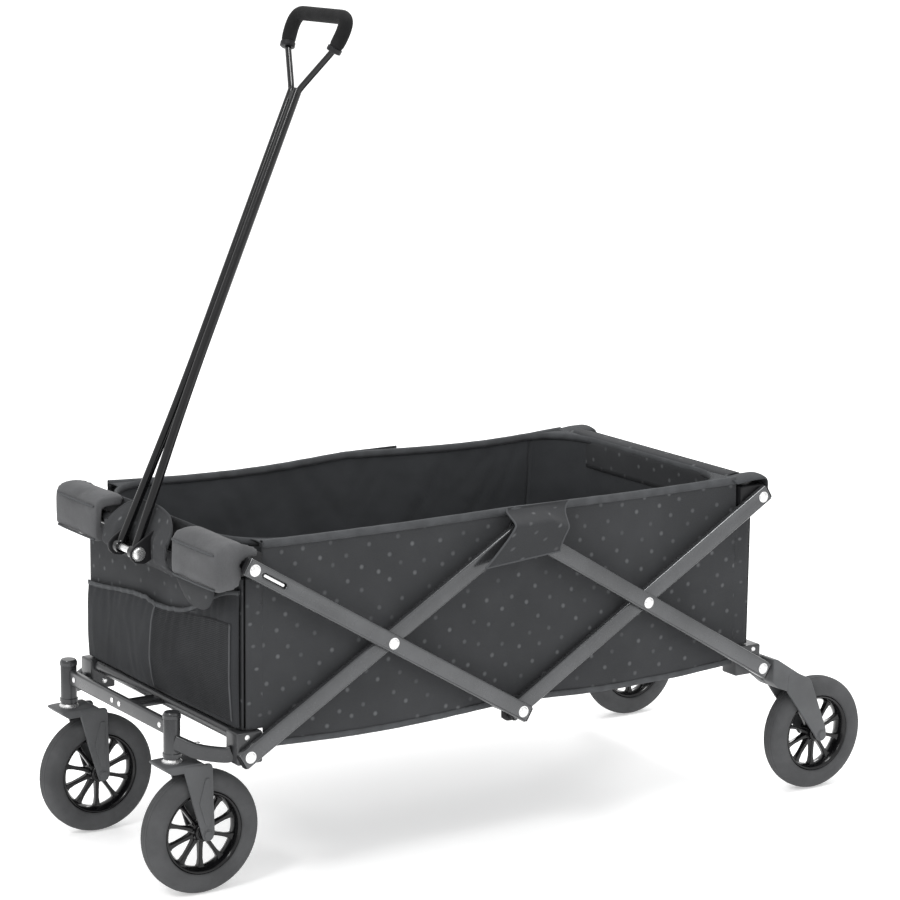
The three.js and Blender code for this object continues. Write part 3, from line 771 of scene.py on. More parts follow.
def make_bar(name, node, body, start, end, side, slotted):
    """One flat side bar with its end plugs."""
    metal = bpy.context.scene.wagon_metal
    middle, along, across, half = pose_line(start, end)
    y = side * (outer(node, side) + inner(node, side)) / 2
    thick = outer(node, side) - inner(node, side)
    middle = Vector((middle.x, y, middle.z))
    reach = half + BAR_END - PLUG
    edge_line = rounded_corners([(-reach, -BAR_DEPTH / 2), (reach, -BAR_DEPTH / 2), (reach, BAR_DEPTH / 2),
                                 (-reach, BAR_DEPTH / 2)], 2.5 * MM)
    outlines = [edge_line]
    if slotted:
        outlines.append(slot_outline(PIN_HEAD + 6 * MM - half, PIN_HEAD + 50 * MM - half, 7 * MM))
    bar = Shape().plate(outlines, thick, middle, along, across, metal.edge * 1.8)
    put(name, bar, "bar_paint", body, (node,))
    plugs = Shape()
    for sign in (-1, 1):
        tip = rounded_corners([(0, -BAR_DEPTH / 2 + 1.5 * MM), (PLUG, -BAR_DEPTH / 2 + 3 * MM),
                               (PLUG, BAR_DEPTH / 2 - 3 * MM), (0, BAR_DEPTH / 2 - 1.5 * MM)], 1 * MM)
        plugs.plate([tip], thick - 2.5 * MM, middle + along * (sign * reach), along * sign, across, 0.8 * MM)
    put(name + "_plugs", plugs, "black_plastic", body)
    if slotted:
        slider = Shape().plate([slot_outline(PIN_HEAD + 9 * MM - half, PIN_HEAD + 47 * MM - half, 4.6 * MM)],
                               thick - 5 * MM, middle, along, across, 0.8 * MM)
        put(name + "_slider", slider, "rivet_metal", body)


class WAGON_OT_side_bars(bpy.types.Operator):
    """Crossed flat bars on both sides, with the rivets where they cross"""
    bl_idname = "wagon.side_bars"
    bl_label = "Side bars"

    def execute(self, context):
        dome = context.scene.wagon_metal.dome
        for word, side in SIDES:
            lines = (
                (f"front_bar_outer_{word}", "front_outer_bars", FRONT_HIGH, FOOT, True),
                (f"front_bar_inner_{word}", "front_inner_bars", FRONT_LOW, HUB, False),
                (f"rear_bar_outer_{word}", "rear_outer_bars", HUB, REAR_LOW, False),
                (f"rear_bar_inner_{word}", "rear_inner_bars", FOOT, REAR_HIGH, False))
            for node, body, start, end, slotted in lines:
                make_bar("flat_" + node, node, body, start, end, side, slotted)
            for end, at, body in (("front", FRONT_CROSS, "front_inner_bars"), ("rear", REAR_CROSS, "rear_inner_bars")):
                node = f"{end}_cross_rivet_{word}"
                rivet = Shape()
                face = outer(f"{end}_bar_outer_{word}", side)
                rivet.rivet((at.x, side * face, at.z), Y_AXIS * side, RIVET_HEAD, dome, 0.7 * MM)
                back = inner(f"{end}_bar_inner_{word}", side)
                rivet.rivet((at.x, side * back, at.z), Y_AXIS * -side, PIN_HEAD * 0.9, 1.0 * MM)
                put(f"{end}_crossing_rivet_{word}", rivet, "rivet_metal", body, (node,))
        return {"FINISHED"}


def pin_collar(shape, pin, side, start, end):
    """Round spacer on a pin between a fitting and a bar that lies further out."""
    if end - start > 1 * MM:
        shape.turned([(0, start), (PIN_HEAD, start), (PIN_HEAD, end), (0, end)], (pin.x, 0, pin.z), Y_AXIS * side, 24)


def collar(shape, centre, profile, steps=40):
    """A ring about an upright axis, from the (radius in mm, height in metres) points of its profile."""
    points = [(radius * MM, z) for radius, z in profile]
    shape.turned(points + points[:1], centre, Z_AXIS, steps)


def bar_rivet(shape, pin, bar, side):
    """The bright head of a pin, on the outer face of the bar that it holds."""
    face = outer(bar, side) + 0.1 * MM
    shape.rivet((pin.x, side * face, pin.z), Y_AXIS * side, RIVET_HEAD, bpy.context.scene.wagon_metal.dome, 0.5 * MM)


def block_between(shape, side, inside, face, low_x, high_x, low_z, high_z, edge, steps):
    """A block with rounded edges that lies between two distances from the middle plane."""
    shape.box((low_x, min(side * inside, side * face), low_z), (high_x, max(side * inside, side * face), high_z),
              edge, steps)


POST_AHEAD, POST_BEHIND = 14 * MM, 22 * MM  # from the low pins to the posts, towards the bin
POST_INWARDS = 13 * MM  # from a bracket's inner face to the middle of its post
BRACKET_HEIGHT = 46 * MM


class WAGON_OT_corner_posts(bpy.types.Operator):
    """Telescoping corner posts with their lower brackets, rods and pins"""
    bl_idname = "wagon.corner_posts"
    bl_label = "Corner posts"

    def execute(self, context):
        for end, pin, pin_high in (("front", FRONT_LOW, FRONT_HIGH), ("rear", REAR_LOW, REAR_HIGH)):
            for word, side in SIDES:
                face = inner(f"front_bar_inner_{word}", side) - GAP
                inside = inner(f"{end}_corner_post_{word}", side)
                ahead = 1 if end == "front" else -1
                x = pin.x + ahead * (POST_AHEAD if end == "front" else POST_BEHIND)
                centre = (x, side * (inside + POST_INWARDS), 0)
                self.post(end, word, side, pin, ahead, centre, inside, face)
                self.fitting(end, word, side, pin_high, centre, inside, face)
        return {"FINISHED"}

    @staticmethod
    def post(end, word, side, pin, ahead, centre, inside, face):
        """Lower bracket with the outer tube, its collar and the pin of the low bar."""
        node = f"{end}_corner_post_{word}"
        bottom, top = low(node).z, high(node).z
        bracket = bottom + BRACKET_HEIGHT
        shape = Shape()
        block_between(shape, side, inside, face, min(pin.x - 14 * MM, centre[0] - 12 * MM),
                      max(pin.x + 14 * MM, centre[0] + 12 * MM), bottom, bracket, 3 * MM, 3)
        collar(shape, centre, [(10, bracket - 2 * MM), (10, top - 1 * MM), (9.4, top), (8.2, top),
                               (8.2, bracket - 2 * MM)], 32)
        collar(shape, centre, [(10, bracket - 1 * MM), (12.2, bracket - 1 * MM), (12.2, bracket + 3 * MM),
                               (10.6, bracket + 5 * MM), (10, bracket + 5 * MM)], 32)
        bar = f"{end}_bar_{'inner' if end == 'front' else 'outer'}_{word}"
        pin_collar(shape, pin, side, face - 1 * MM, inner(bar, side) - 0.2 * MM)
        put(f"{end}_post_{word}", shape, "frame_paint", f"{end}_base", (node,))
        rivets = Shape()
        bar_rivet(rivets, pin, bar, side)
        rivets.rivet((pin.x + ahead * 1 * MM, side * face, bracket - 7 * MM), Y_AXIS * side, 4 * MM, 1.4 * MM)
        rivets.rivet((centre[0] - ahead * 6 * MM, side * inside, bottom + 12 * MM), Y_AXIS * -side, 4 * MM, 1.4 * MM)
        put(f"{end}_post_rivets_{word}", rivets, "rivet_metal", f"{end}_base")

    @staticmethod
    def fitting(end, word, side, pin, centre, inside, face):
        """Top fitting with the rod that slides in the post and the pin of the top bar."""
        node = f"{end}_top_fitting_{word}"
        rod_low, top = low(node).z, high(node).z
        bottom = pin.z - 14 * MM
        shape = Shape()
        block_between(shape, side, inside, face, low(node).x, high(node).x, bottom, top, 4 * MM, 4)
        bar = f"{end}_bar_{'outer' if end == 'front' else 'inner'}_{word}"
        pin_collar(shape, pin, side, face - 1 * MM, inner(bar, side) - 0.2 * MM)
        collar(shape, centre, [(12, bottom - 3 * MM), (12, bottom + 2 * MM), (8, bottom + 2 * MM),
                               (8, bottom - 3 * MM)], 32)
        put(f"{end}_fitting_{word}", shape, "black_plastic", f"{end}_top", (node,))
        rod = Shape().turned([(0, rod_low), (7.4 * MM, rod_low), (7.8 * MM, rod_low + 1 * MM),
                              (7.8 * MM, bottom + 1 * MM), (0, bottom + 1 * MM)], centre, Z_AXIS, 24)
        put(f"{end}_rod_{word}", rod, "frame_paint", f"{end}_top")
        head = Shape()
        bar_rivet(head, pin, bar, side)
        put(f"{end}_fitting_rivet_{word}", head, "rivet_metal", f"{end}_top")


def tube_between(name, node, body, radius):
    """A straight tube across the wagon in the place of a rail."""
    lo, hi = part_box(node)
    x, z = (lo.x + hi.x) / 2, (lo.z + hi.z) / 2
    tube = Shape().tube([(x, lo.y, z), (x, 0, z), (x, hi.y, z)], radius, steps=28)
    put(name, tube, "frame_paint", body, (node,))


class WAGON_OT_middle(bpy.types.Operator):
    """Feet and hubs where the bars meet in the middle, and the rod between the feet"""
    bl_idname = "wagon.middle"
    bl_label = "Middle feet and hubs"

    def execute(self, context):
        dome = context.scene.wagon_metal.dome
        for word, side in SIDES:
            node = f"middle_foot_{word}"
            face, inside = inner(f"front_bar_inner_{word}", side) - GAP, outer(f"side_panel_{word}", side)
            outline = rounded_corners([(-20 * MM, -13 * MM), (-12 * MM, -19 * MM), (20 * MM, -19 * MM),
                                       (30 * MM, -10 * MM), (30 * MM, 8 * MM), (22 * MM, 15 * MM),
                                       (-12 * MM, 15 * MM), (-20 * MM, 9 * MM)], 4 * MM)
            foot = Shape().plate([outline], face - inside, (FOOT.x, side * (face + inside) / 2, FOOT.z), X_AXIS,
                                 Z_AXIS, 1.6 * MM)
            foot.box((FOOT.x - 14 * MM, min(side * inner(node, side), side * (inside + 1 * MM)), FOOT.z - 17 * MM),
                     (FOOT.x + 22 * MM, max(side * inner(node, side), side * (inside + 1 * MM)), HEM_Z - 2 * MM),
                     1.5 * MM, 3)
            put(f"foot_{word}", foot, "black_plastic", "middle_feet", (node,))
            outside = outer(f"front_bar_outer_{word}", side)
            rivets = Shape().rivet((FOOT.x, side * outside, FOOT.z), Y_AXIS * side, RIVET_HEAD, dome, 0.5 * MM)
            rivets.rivet((FOOT.x + 24 * MM, side * face, FOOT.z - 1 * MM), Y_AXIS * side, 3.6 * MM, 0.5 * MM)
            put(f"foot_rivets_{word}", rivets, "rivet_metal", "middle_feet")

            node = f"middle_hub_{word}"
            start, step = inner(node, side), face
            hub = Shape().turned([(0, start), (13 * MM, start), (15 * MM, start + 1.5 * MM), (15 * MM, step - 1 * MM),
                                  (14 * MM, step), (0, step)], (HUB.x, 0, HUB.z), Y_AXIS * side, 40)
            put(f"hub_{word}", hub, "black_plastic", "middle_hubs", (node,))
            head = Shape().rivet((HUB.x, side * outside, HUB.z), Y_AXIS * side, RIVET_HEAD, dome, 0.5 * MM)
            put(f"hub_rivet_{word}", head, "rivet_metal", "middle_hubs")
        tube_between("foot_rod", "middle_cross_rod", "middle_feet", 8 * MM)
        return {"FINISHED"}


def flowing(points, steps):
    """A smooth line through the points."""
    points = [Vector(p) for p in points]
    ends = [points[0] * 2 - points[1]] + points + [points[-1] * 2 - points[-2]]
    line = []
    for a, b, c, d in zip(ends, ends[1:], ends[2:], ends[3:]):
        for i in range(steps):
            t = i / steps
            line.append(0.5 * ((2 * b) + (c - a) * t + (2 * a - 5 * b + 4 * c - d) * t * t
                               + (3 * b - a - 3 * c + d) * t ** 3))
    return line + [points[-1]]


def soft_rectangle(width, height, edge, steps=3):
    """Outline of a rectangle with rounded corners, as points around its middle."""
    w, h = width / 2, height / 2
    return [tuple(p) for p in rounded_corners([(-w, -h), (w, -h), (w, h), (-w, h)], edge, steps)]


class WAGON_OT_undercarriage(bpy.types.Operator):
    """Low rails, front beam, link, steering arms and steering heads"""
    bl_idname = "wagon.undercarriage"
    bl_label = "Undercarriage"

    def execute(self, context):
        tube_between("front_low_tube", "front_low_rail", "front_base", 9 * MM)
        tube_between("rear_low_tube", "rear_low_rail", "rear_base", 9 * MM)
        tube_between("front_top_tube", "front_top_rail", "front_top", 10 * MM)
        tube_between("rear_top_tube", "rear_top_rail", "rear_top", 10 * MM)
        beam_low, beam_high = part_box("front_beam")
        put("steering_beam", Shape().box(beam_low, beam_high, 3 * MM, 4), "frame_paint", "front_base", ("front_beam",))
        lo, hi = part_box("front_link")
        link = Shape().box(lo, hi, 1.5 * MM, 3)
        for start, end in ((lo.y + 3 * MM, lo.y + 6 * MM), (hi.y - 6 * MM, hi.y - 3 * MM)):
            link.box((lo.x - 1 * MM, start, hi.z - 1 * MM), (hi.x - 2 * MM, end, hi.z + 2.2 * MM), 1 * MM)
        put("steering_link", link, "frame_paint", "front_base", ("front_link",))
        rivets = Shape()
        for y in (-11 * MM, 11 * MM, -0.9 * beam_high.y, 0.9 * beam_high.y):
            rivets.rivet((beam_low.x, y, (beam_low.z + beam_high.z) / 2), X_AXIS * -1, 4.2 * MM, 1.8 * MM)
        for word, side in SIDES:
            head = f"steering_head_{word}"
            lo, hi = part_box(head)
            x, y = (lo.x + hi.x) / 2, (lo.y + hi.y) / 2
            shape = Shape().turned([(7.6 * MM, lo.z), (12 * MM, lo.z), (12 * MM, hi.z - 2 * MM), (10.5 * MM, hi.z),
                                    (0, hi.z + 0.2 * MM)], (x, y, 0), Z_AXIS, 40)
            collar(shape, (x, y, 0), [(12, lo.z + 3 * MM), (13.4, lo.z + 3.5 * MM), (13.4, lo.z + 8 * MM),
                                      (12, lo.z + 9 * MM)])
            collar(shape, (x, y, 0), [(12, hi.z - 9 * MM), (13, hi.z - 8.5 * MM), (13, hi.z - 4 * MM),
                                      (12, hi.z - 3.4 * MM)])
            put(f"head_tube_{word}", shape, "frame_paint", "front_base", (head,))
            z = FRONT_LOW.z
            route = [(x, y + side * 9 * MM, z + 12 * MM), (x + 22 * MM, y + side * 34 * MM, z + 2 * MM),
                     (FRONT_WALL - 22 * MM, side * 216 * MM, z - 2 * MM),
                     (FRONT_WALL - 13 * MM, side * 221 * MM, z + 1 * MM)]
            shape = Shape().sweep(soft_rectangle(9 * MM, 22 * MM, 3 * MM), flowing(route, 10), Z_AXIS)
            put(f"bent_arm_{word}", shape, "frame_paint", "front_base", (f"steering_arm_{word}",))
            rivets.rivet((x + 24 * MM, y + side * 30 * MM, z + 13.2 * MM), Z_AXIS, 3.6 * MM, 1.6 * MM)
        put("steering_rivets", rivets, "rivet_metal", "front_base")
        return {"FINISHED"}


LEG = 4.5 * MM
LEG_INSIDE = 21 * MM


def fork_axle(shape, x, z, y):
    """Axle with a nut on each end."""
    reach = LEG_INSIDE + LEG
    shape.turned([(0, -reach), (4 * MM, -reach), (4 * MM, reach), (0, reach)], (x, y, z), Y_AXIS, 20)
    for sign in (-1, 1):
        shape.turned([(0, 0), (PIN_HEAD, 0), (PIN_HEAD, 0.6 * MM), (6.8 * MM, 0.6 * MM), (6.4 * MM, 2.0 * MM),
                      (3.8 * MM, 2.5 * MM), (0, 2.5 * MM)], (x, y + sign * reach, z), Y_AXIS * sign, 28)


class WAGON_OT_forks(bpy.types.Operator):
    """Swivelling front forks with their bearing rings, and fixed rear forks"""
    bl_idname = "wagon.forks"
    bl_label = "Forks"

    def execute(self, context):
        for word, side in SIDES:
            head, axle = PIN[f"caster_{word}_swivel"], PIN[f"front_{word}_wheel_spin"]
            y, trail, r = head.y, axle.x - head.x, axle.z
            crown = 2 * r + 5 * MM
            top = crown + 13 * MM
            leg = rounded_corners([(4 * MM, top - 2 * MM), (trail + 8 * MM, top - 4 * MM), (trail + 11 * MM, r),
                                   (trail + 6 * MM, r - 9 * MM), (trail - 6 * MM, r - 9 * MM),
                                   (trail - 10 * MM, r + 4 * MM), (trail - 24 * MM, r + 50 * MM)], 7 * MM, 5)
            shape = Shape()
            for sign in (-1, 1):
                shape.plate([leg], LEG, (head.x, y + sign * (LEG_INSIDE + LEG / 2), 0), X_AXIS, Z_AXIS, 1.6 * MM)
                rib = rounded_corners([(trail - 14 * MM, r + 48 * MM), (trail - 4 * MM, r + 84 * MM),
                                       (trail + 3 * MM, r + 84 * MM), (trail + 4 * MM, r + 14 * MM),
                                       (trail - 4 * MM, r + 14 * MM)], 3 * MM, 4)
                shape.plate([rib], 1.8 * MM, (head.x, y + sign * (LEG_INSIDE + LEG + 0.3 * MM), 0), X_AXIS, Z_AXIS,
                            0.8 * MM)
            plate = rounded_corners([(-24 * MM, crown + 9 * MM), (-24 * MM, top - 1 * MM), (-14 * MM, top),
                                     (34 * MM, top), (44 * MM, top - 8 * MM), (44 * MM, crown), (-12 * MM, crown)],
                                    3.5 * MM, 4)
            shape.plate([plate], 2 * (LEG_INSIDE + LEG) - 1.2 * MM, (head.x, y, 0), X_AXIS, Z_AXIS, 2.2 * MM)
            fork_axle(shape, axle.x, axle.z, y)
            put(f"swivel_fork_{word}", shape, "fork_plastic", f"caster_{word}", (f"caster_fork_{word}",))
            ring = Shape().turned([(7 * MM, top - 1 * MM), (14.5 * MM, top - 1 * MM), (14.5 * MM, top + 1.6 * MM),
                                   (13.4 * MM, top + 2.6 * MM), (12 * MM, low(f"steering_head_{word}").z - 0.4 * MM),
                                   (7 * MM, low(f"steering_head_{word}").z - 0.4 * MM)], (head.x, y, 0), Z_AXIS, 40)
            ring.turned([(0, top - 1 * MM), (7 * MM, top - 1 * MM), (7 * MM, high(f"caster_fork_{word}").z),
                         (0, high(f"caster_fork_{word}").z)], (head.x, y, 0), Z_AXIS, 28)
            put(f"bearing_ring_{word}", ring, "rivet_metal", f"caster_{word}")

            axle = PIN[f"rear_{word}_wheel_spin"]
            y, ax, az = axle.y, axle.x, axle.z
            start, z = REAR_LOW.x + 14.3 * MM, REAR_LOW.z
            lower = [(ax - 50 * MM, az + 107 * MM), (ax - 34 * MM, az + 98 * MM), (ax - 41 * MM, az + 88 * MM),
                     (ax - 69 * MM, az + 80 * MM), (ax - 90 * MM, az + 88 * MM)]
            full = rounded_corners([(start, z + 12 * MM), (start + 14 * MM, z + 10 * MM), *lower,
                                    (start, az + 104 * MM)], 3 * MM, 4)
            clear = REAR_LOW.x + 21.8 * MM
            short = rounded_corners([(clear, z + 10.5 * MM), (clear + 8 * MM, z + 9.6 * MM), *lower,
                                     (clear, az + 100 * MM)], 3 * MM, 4)
            leg = rounded_corners([(ax - 72 * MM, az + 110 * MM), (ax - 50 * MM, az + 107 * MM),
                                   (ax - 26 * MM, az + 95 * MM), (ax + 9 * MM, az + 8 * MM),
                                   (ax + 9 * MM, az - 5 * MM), (ax + 4 * MM, az - 10 * MM),
                                   (ax - 5 * MM, az - 10 * MM), (ax - 10 * MM, az - 4 * MM),
                                   (ax - 74 * MM, az + 82 * MM)], 7 * MM, 5)
            near, split, far = -(LEG_INSIDE + LEG) + 0.6 * MM, -4 * MM, LEG_INSIDE + LEG - 0.6 * MM
            shape = Shape()
            shape.plate([full], split - near, (0, y + side * (near + split) / 2, 0), X_AXIS, Z_AXIS, 1.8 * MM)
            shape.plate([short], far - split + 1 * MM, (0, y + side * (far + split - 1 * MM) / 2, 0), X_AXIS, Z_AXIS,
                        1.8 * MM)
            for sign in (-1, 1):
                shape.plate([leg], LEG, (0, y + sign * (LEG_INSIDE + LEG / 2), 0), X_AXIS, Z_AXIS, 1.6 * MM)
            fork_axle(shape, ax, az, y)
            put(f"fixed_fork_{word}", shape, "fork_plastic", "rear_base", (f"rear_fork_{word}",))
        return {"FINISHED"}


class WAGON_OT_wheels(bpy.types.Operator):
    """Four wheels: solid tyres on spoked rims"""
    bl_idname = "wagon.wheels"
    bl_label = "Wheels"

    def execute(self, context):
        spokes = context.scene.wagon_wheels.spokes
        for end in ("front", "rear"):
            for word, _ in SIDES:
                axle = PIN[f"{end}_{word}_wheel_spin"]
                body = f"{end}_{word}_wheel"
                put(f"{end}_{word}_tread", self.tyre(axle), "tyre_rubber", body, (f"{end}_{word}_tyre",), 50.0)
                put(f"{end}_{word}_spokes", self.rim(axle, spokes), "rim_plastic", body, (f"{end}_{word}_rim",), 45.0)
        return {"FINISHED"}

    @staticmethod
    def tyre(axle):
        side = [(60.4, 12.0), (61.0, 14.6), (64.0, 16.6), (65.2, 16.7), (66.0, 17.2), (71.0, 18.0), (76.5, 17.9),
                (81.5, 16.7), (85.3, 14.2), (87.8, 10.9), (88.9, 8.6), (88.3, 8.0), (88.5, 7.2), (89.5, 6.6),
                (90.0, 3.4), (89.3, 2.8), (89.3, 1.9), (90.0, 1.3)]
        profile = [(r * MM, -h * MM) for r, h in side] + [(r * MM, h * MM) for r, h in reversed(side)]
        return Shape().turned(profile + profile[:1], axle, Y_AXIS, 96)

    @staticmethod
    def rim(axle, spokes):
        half = [(60.1, 11.8), (60.1, 13.6), (58.8, 14.6), (57.4, 14.2), (55.6, 11.5), (53.0, 6.0), (51.8, 2.0)]
        profile = [(r * MM, h * MM) for r, h in half] + [(r * MM, -h * MM) for r, h in reversed(half)]
        shape = Shape().turned(profile + profile[:1], axle, Y_AXIS, 96)
        hub = [(0, 17.0), (8.6, 17.0), (9.4, 16.2), (9.6, 14.0), (12.4, 13.4), (13.2, 12.2), (14.6, 5.5), (14.6, -5.5),
               (13.2, -12.2), (12.4, -13.4), (9.6, -14.0), (9.4, -16.2), (8.6, -17.0), (0, -17.0)]
        shape.turned([(r * MM, h * MM) for r, h in hub], axle, Y_AXIS, 48)
        for i in range(spokes):
            turn = 2 * math.pi * (i + 0.5) / spokes
            out = Vector((math.cos(turn), 0, math.sin(turn)))
            across = Vector((-math.sin(turn), 0, math.cos(turn)))
            rings = []
            for radius, width, deep in ((12.5, 7.8, 12.0), (18, 6.2, 11.0), (28, 5.4, 9.4), (40, 5.6, 8.4),
                                        (49, 7.6, 9.4), (53.5, 12.0, 11.5)):
                middle = Vector(axle) + out * (radius * MM)
                rings.append([middle + across * u + Y_AXIS * v
                              for u, v in soft_rectangle(width * MM, deep * MM, 1.5 * MM)])
            shape.skin(rings)
        return shape


HANDLE_TILT = math.radians(23.3)
HANDLE_ROD = 6.5 * MM


def on_handle(y, along):
    """A point of the handle from its place across the wagon and its distance from the pivot, in mm."""
    s = along * MM
    return HANDLE + Vector((math.sin(HANDLE_TILT) * s, y * MM, math.cos(HANDLE_TILT) * s))


def mirrored(point):
    """The same point on the other side of the wagon."""
    return Vector((point.x, -point.y, point.z))


ACROSS_LOOP = (0.9, 0.0, -0.4)  # near the way that the loop of the handle faces
GRIP_RADIUS = 10.6 * MM
GRIP_TOP, GRIP_SHOULDER = 812, 764  # distances from the pivot, in mm
TIE = 688


class WAGON_OT_handle(bpy.types.Operator):
    """Pull handle: bracket, pin, two rods that open into a loop, and the foam grip"""
    bl_idname = "wagon.handle"
    bl_label = "Handle"

    def execute(self, context):
        loop = self.loop_line()
        frame_shape = Shape()
        for side in (-1, 1):
            feet = [on_handle(side * 22.5, 2), on_handle(side * 7.2, 243), on_handle(side * 7.2, 700)]
            frame_shape.tube(feet, HANDLE_ROD, 90 * MM, 24, ACROSS_LOOP)
        neck = rounded_corners([on_handle(-7.0, 676), on_handle(-7.0, 694), loop[1], loop[2]], 16 * MM, 6, False)[:-1]
        wire = neck + loop[2:-2] + [mirrored(p) for p in neck][::-1]
        frame_shape.tube(wire, HANDLE_ROD * 0.72, steps=20, up=ACROSS_LOOP)
        for side in (-1, 1):
            frame_shape.turned([(0, -6 * MM), (8.6 * MM, -6 * MM), (9.5 * MM, -5 * MM), (9.5 * MM, 5 * MM),
                                (8.6 * MM, 6 * MM), (0, 6 * MM)],
                               HANDLE + Y_AXIS * (side * 22.5 * MM), Y_AXIS, 32)
        tie = on_handle(0, TIE)
        along = (on_handle(0, TIE + 3) - tie).normalized()
        frame_shape.plate([rounded_corners([(-12 * MM, -7 * MM), (12 * MM, -7 * MM), (12 * MM, 9 * MM),
                                            (-12 * MM, 9 * MM)], 4 * MM, 4)], 10 * MM, tie, Y_AXIS, along, 3 * MM)
        put("handle_rods", frame_shape, "handle_paint", "handle", ("handle_frame",))
        line = loop[1:-1]

        def rounded_ends(t):
            if t in (0.0, 1.0):
                return 0.80
            return 0.97 if min(t, 1 - t) < 1.5 / len(line) else 1
        sleeve = Shape().sweep(circle(GRIP_RADIUS, 28), line, Vector(ACROSS_LOOP), taper=rounded_ends)
        put("handle_sleeve", sleeve, "grip_foam", "handle", ("handle_grip",), 50.0)
        collars = Shape()
        for tip, back in ((loop[1], loop[3]), (loop[-2], loop[-4])):
            way = (back - tip).normalized()
            collars.turned([(4.9 * MM, -5 * MM), (9.6 * MM, -5 * MM), (11.0 * MM, -4 * MM), (11.0 * MM, 2 * MM),
                            (9.6 * MM, 3 * MM), (4.9 * MM, 3 * MM)], tip, way, 36)
        put("handle_collars", collars, "black_plastic", "handle")
        self.bracket(context)
        return {"FINISHED"}

    @staticmethod
    def loop_line():
        """Middle line of the loop, from one shoulder over the top to the other."""
        def bend(a, b, c, steps=14):
            shares = [i / steps for i in range(steps + 1)]
            return [a * (1 - t) ** 2 + b * (2 * t * (1 - t)) + c * t ** 2 for t in shares]
        shoulder, corner, top = on_handle(-65, GRIP_SHOULDER), on_handle(-82, GRIP_TOP), on_handle(-52, GRIP_TOP)
        left = [on_handle(-50, GRIP_SHOULDER - 20)] + bend(shoulder, corner, top)
        middle = [on_handle(y, GRIP_TOP) for y in (-35, -18, 0, 18, 35)]
        return left + middle + [mirrored(p) for p in reversed(left)]

    @staticmethod
    def bracket(context):
        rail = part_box("front_top_rail")
        rail_x, rail_z = (rail[0].x + rail[1].x) / 2, (rail[0].z + rail[1].z) / 2
        x, z = HANDLE.x, HANDLE.z
        outline = rounded_corners([
            (x - 13 * MM, z - 5 * MM), (x - 13 * MM, z + 5 * MM), (x - 6 * MM, z + 12 * MM),
            (rail_x - 10 * MM, rail_z + 15 * MM), (rail_x + 8 * MM, rail_z + 15 * MM),
            (rail_x + 15 * MM, rail_z + 6 * MM), (rail_x + 15 * MM, rail_z - 8 * MM),
            (rail_x + 4 * MM, rail_z - 17 * MM), (x + 10 * MM, z - 16 * MM), (x - 6 * MM, z - 13 * MM)], 4 * MM, 4)
        shape = Shape()
        for sign in (-1, 1):
            shape.plate([outline], 4 * MM, (0, sign * 33.5 * MM, 0), X_AXIS, Z_AXIS, 1.4 * MM)
        shape.box((x + 14 * MM, -32 * MM, z - 12 * MM), (x + 18 * MM, 32 * MM, z + 4 * MM), 1.2 * MM, 3)
        put("handle_cheeks", shape, "black_plastic", "front_top", ("handle_bracket",))
        face = outer("handle_bracket", 1)
        pin = Shape().turned([(0, -face), (5 * MM, -face), (5 * MM, face), (0, face)], HANDLE, Y_AXIS, 24)
        for sign in (-1, 1):
            pin.rivet(HANDLE + Y_AXIS * (sign * face), Y_AXIS * sign, PIN_HEAD, context.scene.wagon_metal.dome,
                      0.4 * MM)
        put("handle_axle", pin, "rivet_metal", "front_top", ("handle_pin",))


# ---- Cloth ---------------------------------------------------------------

def at(x, y, z):
    """A place in the wagon: x along it from the middle foot, y across it and z up from the ground, all in mm."""
    return Vector((FOOT.x + x * MM, y * MM, z * MM))


def from_foot(x):
    """How far a place along the wagon lies from the middle foot, in mm."""
    return (x - FOOT.x) / MM


WALL_START, WALL_END = from_foot(low("side_panel_left").x), from_foot(high("side_panel_left").x)
NOTCH_START = from_foot(high("front_top_fitting_left").x) + 4
NOTCH_END = from_foot(low("rear_top_fitting_left").x) - 4
WALL, RIM, CORNER, HEM, MAT = WALL_Y / MM, RIM_Z / MM, CORNER_Z / MM, HEM_Z / MM, FLOOR_Z / MM
CORNER_TOP = FRONT_HIGH.z / MM - 18
BEND = 95.0   # radius of the lining's corners
LINED = 3.2   # from the dotted cloth to the lining
FOLD_MIDDLE = 0.1095  # as FOLDED_SHARE, for the lining between its corners
FOLD_BINDING = 0.2488  # as FOLDED_SHARE, for the binding of the rim


def looseness(x):
    """0 where the frame holds the rim and 1 half-way between."""
    return math.sin(math.pi * min(1.0, abs(x / (WALL_START if x < 0 else WALL_END)))) ** 1.1


def rim_at(x):
    """Height of the rim, which sags a little between the points that hold it."""
    return RIM - 5.0 * looseness(x)


def hem_at(x):
    """Height of the lower edge, which sags between the brackets and the feet."""
    return HEM - 8.0 * looseness(x)


def crease(x, z, seed):
    """Creases of the cloth in mm: broad waves, and narrow folds that run down from the rim."""
    wave = noise.noise(Vector((x * 0.009, z * 0.014, seed)))
    lean = 0.55 * (1 if x < 0 else -1)
    ridge = noise.noise(Vector(((x + z * lean) * 0.021, z * 0.006, seed + 5.0)))
    small = noise.noise(Vector((x * 0.05 + z * 0.03, z * 0.045 - x * 0.02, seed + 9.0)))
    return 1.9 * wave + 2.4 * (0.35 - abs(ridge)) + 0.5 * small


WALL_SEEDS = (3.0, 14.0)  # where the noise of each side wall starts, in the order of SIDES


